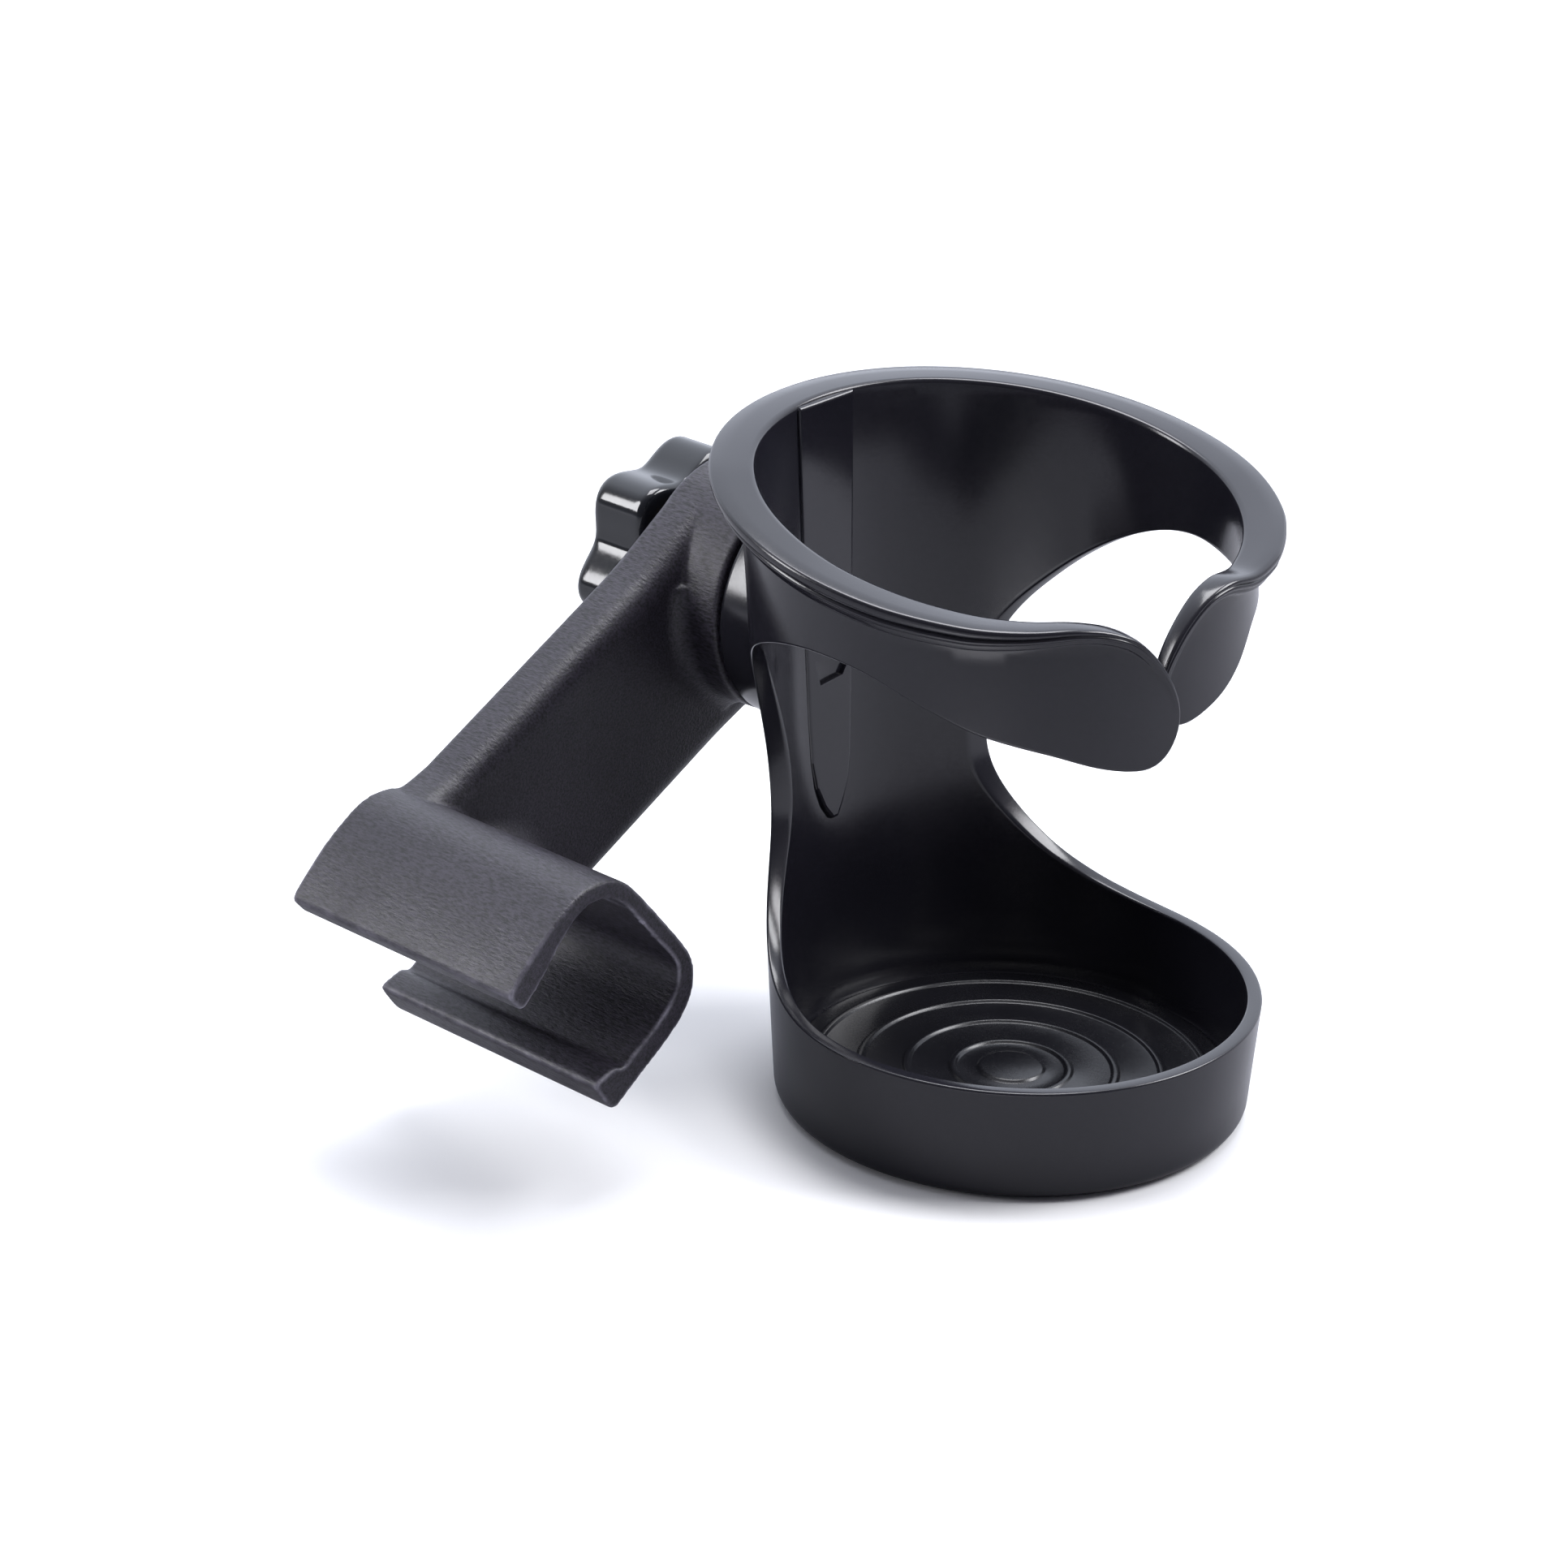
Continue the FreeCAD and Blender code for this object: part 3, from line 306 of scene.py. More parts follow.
# edge sections from outer to inner skin: (out from the outer skin, in from the free edge)
PLAIN = np.array([
    (0, 1.7), (0, 1.5), (0, 1.35), (0, 1.2), (0, 1.08), (0, 0.98), (0, 0.88), (0, 0.8),
    (0, 0.72), (0, 0.64), (0, 0.57), (0, 0.5), (-0.01, 0.42), (-0.03, 0.35), (-0.06, 0.28),
    (-0.1, 0.21), (-0.16, 0.14), (-0.24, 0.08), (-0.34, 0.03), (-0.48, 0.0), (-1.2, 0),
    (-2.3, 0), (-2.5, 0.05), (-2.65, 0.14), (-2.74, 0.28), (-2.8, 0.5), (-2.8, 0.9)])
FLANGE = np.array([
    (0, 6.4), (0.12, 5.95), (0.5, 5.62), (1.4, 5.42), (2.5, 5.3), (3.05, 5.12), (3.35, 4.75),
    (3.42, 4.2), (3.5, 3.9), (3.9, 3.72), (4.4, 3.55), (4.62, 3.2), (4.62, 2.85), (4.45, 2.5),
    (4.1, 2.3), (4.12, 2.12), (4.7, 2.02), (5.22, 1.85), (5.4, 1.5), (5.4, 0.6), (5.28, 0.22),
    (4.9, 0.02), (2.0, 0.0), (-1.6, 0.0), (-2.35, 0.08), (-2.68, 0.35), (-2.8, 0.9)])


def radial(turn):
    """Unit vectors out from the cup axis; turn in radians."""
    return np.outer(np.cos(turn), EX) + np.outer(np.sin(turn), EY)


def station_points(k, turn, depth):
    radius, centre, tilt = STATIONS[k]
    return centre + (radius - depth)[:, None] * (radial(turn) @ tilt.T)


def wall(turn_deg, z, depth=0.0, side=0):
    """Points of the cup wall at a turn from the front and a height, depth in from the outer skin.

    A side of NEAR or FAR lets the lean of that arm run on past the front line.
    """
    turn = np.radians(np.atleast_1d(np.asarray(turn_deg, float)))
    z = np.broadcast_to(z, turn.shape)
    depth = np.broadcast_to(depth, turn.shape)
    rings = [station_points(k, turn, depth) for k in range(len(STATIONS))]
    out = np.zeros((len(turn), 3))
    done = np.zeros(len(turn), bool)
    for k in range(len(STATIONS) - 1):
        a, b = rings[k], rings[k + 1]
        t = (z - a[:, 2]) / (b[:, 2] - a[:, 2])
        use = ~done & ((t <= 1.0) | (k == len(STATIONS) - 2))
        out[use] = (a + (b - a) * t[:, None])[use]
        done |= use
    outward = radial(turn)
    rise = smoothstep(z, 30, 75)
    split = -0.5 * side
    near = (turn < split) & (turn > -math.pi / 2)
    far = (turn >= split) & (turn < math.pi / 2)
    lean_out = np.where(near, 1.0, 0.0) * rise * NEAR_OUT
    out += lean_out[:, None] * (outward + EY)
    lean_in = np.where(far, (1 - np.clip(np.sin(turn), 0, 1)) ** 1.5, 0.0) * rise * FAR_IN
    out -= lean_in[:, None] * outward
    return out


def rim_z(turn_deg):
    turn_deg = np.atleast_1d(np.asarray(turn_deg, float))
    ring = station_points(RIM_STATION, np.radians(turn_deg), np.zeros(len(turn_deg)))
    return ring[:, 2] - np.interp(turn_deg, *RIM_DIP)


def solve_turn(direction, target, z, low, high, depth=0.0, side=0):
    """Turn at which the wall reaches a given distance along a direction, by bisection."""
    a = np.full(target.shape, float(low))
    b = np.full(target.shape, float(high))
    for _ in range(40):
        middle = (a + b) / 2
        short = wall(middle, z, depth, side) @ direction < target
        a = np.where(short, middle, a)
        b = np.where(short, b, middle)
    return (a + b) / 2


def turn_curve(direction, curve, low, high, side):
    """Turns a (distance, height) curve into (turn, height)."""
    turns = solve_turn(direction, curve[:, 0], curve[:, 1], low, high, side=side)
    return np.column_stack([turns, curve[:, 1]])


def to_flat(curve):
    return np.column_stack([np.radians(curve[:, 0]) * FLAT_RADIUS, curve[:, 1]])


def from_flat(curve):
    return np.column_stack([np.degrees(curve[:, 0] / FLAT_RADIUS), curve[:, 1]])


def free_edge(side):
    """Unrolled free edge of one half, its flange share, and which points are on the rim side."""
    back = 180.0 * side
    low_points = TUB[-3:] + (NEAR_LOW if side == NEAR else FAR_LOW)
    tub = turn_curve(EX, spline(TUB), back, 0, side)
    # the first two spans only repeat the end of the tub curve
    low = turn_curve(EX, spline(low_points)[2 * SPLINE_STEPS:], back, 0, side)
    if side == NEAR:
        tip = turn_curve(EY, spline(NEAR_TIP), -90, 0, side)
        top_turn = np.linspace(back, tip[-1, 0] - 8, 60)[::-1]
    else:
        tip = turn_curve(EY, spline(FAR_TIP), -20, 88, side)
        top_turn = np.linspace(back, tip[0, 0] + 9, 60)
    top = np.column_stack([top_turn, rim_z(top_turn)])
    if side == NEAR:
        edge = np.vstack([tub[:-1], low, tip, top])
    else:
        edge = np.vstack([top, tip, low[::-1], tub[:-1][::-1]])
    # soften the joins between the runs
    flat = even(soften(even(to_flat(edge), 0.6), 14), 1.25)
    turn, z = from_flat(flat).T
    upper = z > 78
    index = np.arange(len(flat))
    if side == NEAR:
        share = np.interp(turn, *NEAR_SHARE)
        on_top = index >= int(np.argmax(np.where(upper, turn, -1e9)))
    else:
        share = np.interp(turn, *FAR_SHARE)
        on_top = index <= int(np.argmin(np.where(upper, turn, 1e9)))
    share = np.where(on_top, share * smoothstep(z, 88, 101), 0.0)
    return flat, share, on_top


def into_wall(flat):
    """Unit normals of the unrolled edge, pointing into the wall."""
    along = np.zeros_like(flat)
    along[1:-1] = flat[2:] - flat[:-2]
    along[0], along[-1] = flat[1] - flat[0], flat[-1] - flat[-2]
    along = unit_rows(along)
    normal = np.column_stack([-along[:, 1], along[:, 0]])
    for _ in range(3):
        normal = unit_rows(soften(normal))
    normal[[0, -1]] = (0, -1)
    return normal


def half_wall(draft, side):
    flat, share, on_top = free_edge(side)
    normal = into_wall(flat)
    # the same edge on the inner skin: cut straight across the cup beside the opening,
    # square to the wall elsewhere
    turn, z = from_flat(flat).T
    outer_x = wall(turn, z, 0.0, side) @ EX
    straight = solve_turn(EX, outer_x, z, 180.0 * side, 0, WALL, side)
    weight = soften(smoothstep(np.abs(turn), 35, 85) * np.where(on_top, 0.0, 1.0), 6)
    flat_in = to_flat(np.column_stack([turn + weight * (straight - turn), z]))
    normal_in = into_wall(flat_in)
    flat_in[[0, -1], 0] = flat[[0, -1], 0]
    section = PLAIN[None] * (1 - share[:, None, None]) + FLANGE[None] * share[:, None, None]

    def skin(edge, edge_normal, inset, depth):
        turns, heights = from_flat(edge + edge_normal * inset[:, None]).T
        return wall(turns, heights, depth, side)

    columns = []
    for j in range(section.shape[1]):
        out, inset = section[:, j, 0], section[:, j, 1]
        outer = skin(flat, normal, inset, 0.0)
        inner = skin(flat_in, normal_in, inset, WALL)
        outward = unit_rows(skin(flat, normal, inset, -1.0) - outer)
        t = np.clip(-out / WALL, 0, 1)[:, None]
        columns.append(np.where((out > 0)[:, None], outer + outward * out[:, None],
                                outer * (1 - t) + inner * t))
    draft.grid(np.stack(columns, axis=1))

    # both skins, from the edge section down to the base
    first, last = (0.0, -HALF_TURN) if side == NEAR else (HALF_TURN, 0.0)
    for edge, edge_normal, inset, depth, base_z in (
            (flat, normal, section[:, 0, 1], 0.0, OUTER_BASE_Z),
            (flat_in, normal_in, section[:, -1, 1], WALL, INNER_BASE_Z)):
        edge = edge + edge_normal * inset[:, None]
        edge[0, 0], edge[-1, 0] = first, last
        base = np.column_stack([np.linspace(last, first, BASE_STEPS),
                                np.full(BASE_STEPS, base_z)])
        up = even(np.array([[first, base_z], edge[0]]), 2.0)
        down = even(np.array([edge[-1], [last, base_z]]), 2.0)
        fill(draft, np.vstack([base[:-1], up[:-1], edge[:-1], down[:-1]]), depth, side)


def inside(points, polygon):
    x, y = points[:, 0], points[:, 1]
    within = np.zeros(len(points), bool)
    for (x1, y1), (x2, y2) in zip(polygon, np.roll(polygon, -1, axis=0)):
        if y1 != y2:
            within ^= ((y1 > y) != (y2 > y)) & (x < (x2 - x1) * (y - y1) / (y2 - y1) + x1)
    return within


def fill(draft, polygon, depth, side, pitch=2.1):
    """Triangulates an unrolled region over a staggered lattice and bends it onto the wall."""
    low, high = polygon.min(0), polygon.max(0)
    grid_x = np.arange(low[0] + pitch / 2, high[0], pitch)
    grid_y = np.arange(low[1] + pitch / 2, high[1], pitch * 0.87)
    points = np.array([(x + (pitch / 2 if k % 2 else 0), y)
                       for k, y in enumerate(grid_y) for x in grid_x])
    points = points[inside(points, polygon)]
    nearest = np.full(len(points), 1e9)
    for start, end in zip(polygon, np.roll(polygon, -1, axis=0)):
        run = end - start
        t = np.clip(((points - start) @ run) / max(run @ run, 1e-12), 0, 1)
        gap = np.linalg.norm(points - (start + t[:, None] * run), axis=1)
        nearest = np.minimum(nearest, gap)
    points = points[nearest > pitch * 0.48]
    count = len(polygon)
    verts, _, faces, _, _, _ = delaunay_2d_cdt(
        [Vector((float(p[0]), float(p[1]))) for p in np.vstack([polygon, points])],
        [(i, (i + 1) % count) for i in range(count)], [], 1, 1e-7)
    verts = np.array([(v.x, v.y) for v in verts])
    turn, z = from_flat(verts).T
    start = draft.add(wall(turn, z, depth, side))
    centres = np.array([verts[list(face)].mean(0) for face in faces])
    for face, keep in zip(faces, inside(centres, polygon)):
        if keep:
            draft.faces.append(tuple(start + i for i in face))


# ------------------------------------------------------------------ cup base and boss
BOSS_FACE_X = -56.0
BOSS_SIDE_X = -55.1            # where the rounded edge of the face ends
BOSS_BORE = 4.3
BOSS_SINK = 1.3                # how deep the drum runs into the wall


def base_rings(draft):
    """Underside and floor, turned about the cup axis."""
    turn = np.r_[np.linspace(-180, 0, BASE_STEPS), np.linspace(0, 180, BASE_STEPS)[1:]]
    outward = radial(np.radians(turn))

    def rings(first, profile):
        draft.grid([first] + [outward * r + np.array([0, 0, z]) for r, z in profile])

    outer_r = np.linalg.norm(wall(0.0, OUTER_BASE_Z)[0][:2])
    corner = [(outer_r - 2.4 * (1 - math.cos(t)) - 0.1 * t, 2.55 - 2.55 * math.sin(t))
              for t in np.linspace(0.15, math.pi / 2, 9)]
    rings(wall(turn, OUTER_BASE_Z), corner + [
        (38.5, 0.0), (38.1, 0.35), (37.0, 0.6), (36.5, 0.6), (20.0, 0.6), (6.0, 0.6), (0.0, 0.6)])
    first = wall(turn, INNER_BASE_Z, WALL)
    inner_r = np.linalg.norm(first[0][:2])
    rings(first, [
        (inner_r - 0.04, 5.6), (inner_r - 0.2, 4.2), (inner_r - 0.5, 3.5), (inner_r - 1.2, 3.05),
        (inner_r - 2.2, 3.0), (20.0, 3.0), (0.0, 3.0)])


def pivot_boss(draft):
    """Turned drum that runs into the back of the wall."""
    angle = np.linspace(0, 2 * math.pi, 145)[:-1]
    ca, sa = np.cos(angle), np.sin(angle)

    def ring(x, radius):
        return np.column_stack([np.broadcast_to(x, ca.shape), radius * ca,
                                PIVOT_Z + radius * sa])

    def wall_x(radius):
        z = np.minimum(PIVOT_Z + radius * sa, rim_z(180.0) - 1.0)
        turn = solve_turn(np.array([0.0, -1.0, 0.0]), -radius * ca, z, 110, 250, BOSS_SINK)
        return wall(turn, z, BOSS_SINK)[:, 0]

    rows = [ring(x, radius) for x, radius in (
        (BOSS_FACE_X, BOSS_BORE), (BOSS_FACE_X, 9.0), (BOSS_FACE_X, 16.0), (BOSS_FACE_X, 22.0),
        (-55.93, 22.4), (-55.75, 22.65), (-55.45, 22.78), (BOSS_SIDE_X, BOSS_RADIUS))]
    outer, sunk = rows[-1], ring(wall_x(BOSS_RADIUS), BOSS_RADIUS)
    rows += [outer * (1 - t) + sunk * t for t in (0.25, 0.5, 0.75, 1.0)]
    rows += [ring(wall_x(radius), radius) for radius in (17.0, 11.0, BOSS_BORE)]
    rows.append(rows[0])
    draft.grid(rows, wrap=True)


def cup_body():
    draft = MeshDraft()
    half_wall(draft, NEAR)
    half_wall(draft, FAR)
    base_rings(draft)
    pivot_boss(draft)
    return draft.build("cup_body")


cup = cup_body()
fit(cup, "cup", "cup_shell")


# ------------------------------------------------------------------ floor mat
RIDGE_RADII = (36.86, 28.19, 19.52, 10.84)
# section of one ridge: (out from its middle radius, height)
RIDGE = [(1.0, 1.2), (0.75, 1.28), (0.5, 1.6), (0.35, 1.7),
         (-0.35, 1.7), (-0.5, 1.6), (-0.75, 1.28), (-1.0, 1.2)]


def floor_pad():
    """Round pad with ring ridges and a raised middle."""
    profile = [(0.0, 0.0), (41.0, 0.0), (41.2, 0.25), (41.2, 0.9), (40.9, 1.15), (40.4, 1.2)]
    profile += [(middle + out, z) for middle in RIDGE_RADII for out, z in RIDGE]
    profile += [(6.6, 1.2), (6.4, 1.28), (6.1, 1.6), (5.9, 1.74), (5.5, 1.8), (0.0, 1.8)]
    base_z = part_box("floor_mat")[0][2] * 1000
    return turned("floor_pad", profile, (0, 0, base_z), axis="z", segments=128)


mat = floor_pad()
fit(mat, "cup", "floor_mat")

# ------------------------------------------------------------------ cover strip
LEAN_RUN = RIM_CENTRE - SILL_CENTRE
LEAN = LEAN_RUN / np.linalg.norm(LEAN_RUN)          # up the leaning back wall
INTO_CUP = np.array([LEAN[2], 0, -LEAN[0]])
COVER_REACH = 43.4             # from the leaning cup axis back to the plane of the strip
COVER_FOOT = np.array([
    SILL_CENTRE[0] + LEAN_RUN[0] * (PIVOT_Z - SILL_CENTRE[2]) / LEAN_RUN[2] - COVER_REACH,
    0, PIVOT_Z])
# (y, z) outline, from the bottom up the +y side and down the -y side
COVER_OUTLINE = [
    (-2.9, 41.6), (-1.2, 41.6), (0.6, 44.6), (2.2, 48.6), (3.1, 53.5), (3.8, 61.5), (5.4, 82.0),
    (6.9, 102.0), (8.3, 122.3), (-6.9, 121.9), (-7.4, 102.0), (-7.9, 82.0), (-8.1, 61.5),
    (-7.9, 54.0), (-6.9, 48.4), (-5.0, 44.2)]
# (inset of the outline, depth into the cup), from the back face to the front face
COVER_LAYERS = [(0.0, -2.2), (0.0, 1.15), (0.06, 1.35), (0.2, 1.55), (0.42, 1.66), (0.7, 1.7)]
NOTCH = [(-5.6, 73.0), (4.2, 72.4), (1.6, 69.0), (-4.6, 68.4)]     # (y, z) corners
NOTCH_FRONT, NOTCH_BACK = 2.4, 0.2


def cover_point(y, z, depth):
    up = (z - PIVOT_Z) / LEAN[2]
    return COVER_FOOT + LEAN * up + np.array([0, 1, 0]) * y + INTO_CUP * depth


def cover_strip():
    """Tapered strip up the inside of the back wall, with a shallow notch part way down."""
    points = even(np.vstack([COVER_OUTLINE, COVER_OUTLINE[:1]]), 0.9)[:-1]
    along = unit_rows(np.roll(points, -1, axis=0) - np.roll(points, 1, axis=0))
    normal = np.column_stack([-along[:, 1], along[:, 0]])
    rows = [[cover_point(y, z, depth) for y, z in points + normal * inset]
            for inset, depth in COVER_LAYERS]
    draft = MeshDraft()
    draft.grid(rows, wrap=True)
    draft.cap(rows[-1])
    draft.cap(rows[0])
    ob = draft.build("cover_strip")
    triangulate(ob.data, over=6)

    cutter = MeshDraft()
    s = cutter.add([cover_point(y, z, depth)
                    for depth in (NOTCH_FRONT, NOTCH_BACK) for y, z in NOTCH])
    cutter.faces += [(s, s + 1, s + 2, s + 3), (s + 7, s + 6, s + 5, s + 4)]
    for i in range(4):
        k = (i + 1) % 4
        cutter.faces.append((s + i, s + 4 + i, s + 4 + k, s + k))
    boolean(ob, cutter.build("notch_cut"), "DIFFERENCE")
    shade(ob.data, False)
    return ob


cover = cover_strip()
fit(cover, "cup", "spine_cover")

# ------------------------------------------------------------------ arm with the C clip
ARM_SLOPE = math.radians(28.7)
ALONG = np.array([0, -math.cos(ARM_SLOPE), -math.sin(ARM_SLOPE)])
ACROSS = np.array([0, -math.sin(ARM_SLOPE), math.cos(ARM_SLOPE)])
BAR_FRONT, BAR_BACK = -66.3, -77.6       # x of the faces towards and away from the cup
HEAD_FRONT = 57.02                       # front of the head drum, behind the origin
COLLAR = 4.0
WEB = 9.0                                # largest radius of the web
BUSH_BORE = 6.55
POCKETS = ((27.5, 43.5), (46.0, 62.0))   # start and end along the arm
POCKET_HALF = 16.4

# clip outlines: (along the arm from the pivot, across it)
CLIP_OUTER = [
    (111.0, 21.3), (107.5, 22.6), (101.5, 24.2), (96.2, 25.0), (91.0, 25.1), (87.0, 24.0),
    (83.6, 21.7), (81.3, 18.6), (79.9, 14.2), (78.6, 8.6), (77.3, 2.4), (76.3, -2.8),
    (76.0, -6.4), (76.9, -10.0), (79.4, -13.2), (83.2, -15.3), (88.5, -16.5), (95.0, -17.2),
    (103.3, -18.2)]
CLIP_INNER = [
    (98.4, -12.7), (94.0, -12.3), (89.0, -11.8), (84.6, -10.8), (81.0, -8.6), (79.4, -5.8),
    (79.4, -3.0), (80.5, 2.0), (81.7, 7.6), (82.8, 12.6), (84.4, 17.2), (86.8, 20.2),
    (90.2, 21.8), (94.0, 21.8), (98.6, 20.4), (104.4, 18.0), (109.8, 16.4)]
LIP_LOW = [
    (103.3, -18.2), (104.2, -17.6), (104.6, -16.0), (105.2, -11.4), (105.0, -10.6),
    (104.2, -10.3), (101.0, -10.8), (99.7, -11.3), (98.4, -12.7)]
LIP_TOP = [(109.8, 16.4), (110.5, 16.5), (111.0, 17.1), (111.7, 20.2), (111.6, 20.9),
           (111.0, 21.3)]
CLIP_STEPS = 8


def arm_point(x, along, across):
    return PIVOT + np.array([x, 0, 0]) + ALONG * along + ACROSS * across


def prism(name, outline, x0, x1):
    """Solid between two x values from an (along, across) outline."""
    draft = MeshDraft()
    n = len(outline)
    s = draft.add([arm_point(x, *p) for x in (x0, x1) for p in outline])
    for i in range(n):
        k = (i + 1) % n
        draft.faces.append((s + i, s + k, s + n + k, s + n + i))
    draft.faces.append(tuple(range(s, s + n)))
    draft.faces.append(tuple(reversed(range(s + n, s + 2 * n))))
    ob = draft.build(name)
    triangulate(ob.data, over=4)
    return ob


def rectangle(along0, along1, half):
    return [(along0, -half), (along1, -half), (along1, half), (along0, half)]


def capped_sweep(name, rows):
    draft = MeshDraft()
    draft.grid(rows, wrap=True)
    draft.cap(rows[0])
    draft.cap(rows[-1])
    return draft.build(name)


def clip():
    low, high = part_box("arm_bracket")
    outline = np.vstack([
        spline(CLIP_OUTER, CLIP_STEPS)[:-1], LIP_LOW[:-1],
        spline(CLIP_INNER, CLIP_STEPS)[:-1], LIP_TOP[:-1]])
    return prism("clip_tmp", outline, low[0] * 1000, high[0] * 1000)


def bar():
    """Straight bar; its front corners are rounded more than its back ones."""
    rows = []
    for along in np.r_[np.linspace(0, 24, 13), np.linspace(28, 84, 15)]:
        flare = 1 - smoothstep(along, 0, 26)
        upper = 20.5 + 2.2 * flare + 1.4 * smoothstep(along, 76, 86)
        lower = 21.5 + 1.2 * flare - 5.0 * smoothstep(along, 66, 86)
        row = []
        # corner x and across, directions from the corner to its arc centre, radius, first angle
        for x, across, to_x, to_across, radius, start in (
                (BAR_FRONT, upper, -1, -1, 4.6, 0), (BAR_BACK, upper, 1, -1, 1.6, 90),
                (BAR_BACK, -lower, 1, 1, 1.6, 180), (BAR_FRONT, -lower, -1, 1, 4.6, 270)):
            for t in np.linspace(0, 90, 7):
                angle = math.radians(start + t)
                row.append(arm_point(x + to_x * radius + radius * math.cos(angle), along,
                                     across + to_across * radius + radius * math.sin(angle)))
        rows.append(row)
    ob = capped_sweep("arm_tmp", rows)
    # clear the inside of the clip
    mouth = np.vstack([spline(CLIP_INNER, CLIP_STEPS), [(130, 16.4)], [(130, -12.7)]])
    boolean(ob, prism("cav", mouth, -90, -50), "DIFFERENCE")
    return ob


def head():
    outline = [(0.0, HEAD_FRONT), (BOSS_RADIUS, HEAD_FRONT),
               (BOSS_RADIUS, -BAR_BACK), (0.0, -BAR_BACK)]
    return turned("head_tmp", rounded(outline, 0.9, 5), PIVOT, segments=128)


def collar():
    """Soft collar where the head drum meets the front of the bar."""
    outer, front = BOSS_RADIUS + COLLAR, -BAR_FRONT
    profile = [(20.0, 67.5), (outer, 67.5), (outer, front)]
    for t in np.linspace(0, math.pi / 2, 9)[1:]:
        profile.append((outer - COLLAR * math.sin(t), front - COLLAR + COLLAR * math.cos(t)))
    profile.append((20.0, front - COLLAR))
    ob = turned("collar_tmp", profile, PIVOT, segments=128)
    boolean(ob, prism("lim", rectangle(17.5, 60, 15.6), -70, -58), "INTERSECT")
    return ob


def web():
    """Soft corner between the front of the bar and the back of the clip."""
    path = [p for p in spline(CLIP_OUTER, CLIP_STEPS) if -14.0 < p[1] < 15.0 and p[0] < 88]
    path = even(path, 1.2)
    tangent = unit_rows(np.gradient(path, axis=0))
    normal = np.column_stack([tangent[:, 1], -tangent[:, 0]])
    root_x = BAR_FRONT - 0.6
    rows = []
    for p, q in zip(path, normal):
        fade_top = float(smoothstep(15.5 - p[1], 0.0, 16.0))
        fade_low = 0.35 + 0.65 * float(smoothstep(p[1] + 14.0, 0.0, 9.0))
        radius = max(0.8, WEB * fade_top * fade_low)
        section = [(root_x, -1.2), (root_x, radius)]
        for a in np.linspace(0, math.pi / 2, 9):
            section.append((BAR_FRONT + radius - radius * math.cos(a),
                            radius - radius * math.sin(a)))
        section.append((BAR_FRONT + radius, -1.2))
        rows.append([arm_point(x, *(p + q * out)) for x, out in section])
    return capped_sweep("web_tmp", rows)


def arm_body():
    parts = [clip(), bar(), head(), collar(), web()]
    bm = bmesh.new()
    for part in parts:
        bm.from_mesh(part.data)
    mesh = bpy.data.meshes.new("arm_body")
    bm.to_mesh(mesh)
    bm.free()
    triangulate(mesh, over=4)
    for part in parts:
        bpy.data.objects.remove(part, do_unlink=True)
    ob = new_object("arm_body", mesh)
    remesh = ob.modifiers.new("r", "REMESH")
    remesh.mode = "VOXEL"
    remesh.voxel_size = 0.45 * MM
    remesh.adaptivity = 0.0
    apply_modifiers(ob)
    smooth = ob.modifiers.new("s", "SMOOTH")
    smooth.factor = 0.5
    smooth.iterations = 6
    apply_modifiers(ob)
    # pockets in the back and the bush bore, cut after the smoothing so that they stay crisp
    for start, end in POCKETS:
        outline = rounded(rectangle(start, end, POCKET_HALF), 3.0, 6)
        boolean(ob, prism("pocket", outline, -79.0, -70.0), "DIFFERENCE")
    bore = [(0.0, 50.0), (BUSH_BORE, 50.0), (BUSH_BORE, 90.0), (0.0, 90.0)]
    boolean(ob, turned("bore", bore, PIVOT), "DIFFERENCE")
    return ob


arm = arm_body()
fit(arm, "arm", "arm_bracket")

# ------------------------------------------------------------------ knob
KNOB_SEGMENTS = 240
KNOB_RADIUS = 19.3             # mean radius of the grip
LOBES, LOBE_HEIGHT = 6, 2.1
KNOB_TURN = math.radians(13.5)
GRIP_LENGTH = 13.5
HUB_RADIUS, HUB_ROUND = 9.5, 0.4
GRIP_FRONT_ROUND, GRIP_BACK_ROUND = 1.7, 2.2
FLAT_R = 14.5                  # edge of the round flat on the front of the grip
BOLT_RADIUS, HOLLOW_RADIUS = 4.4, 7.4


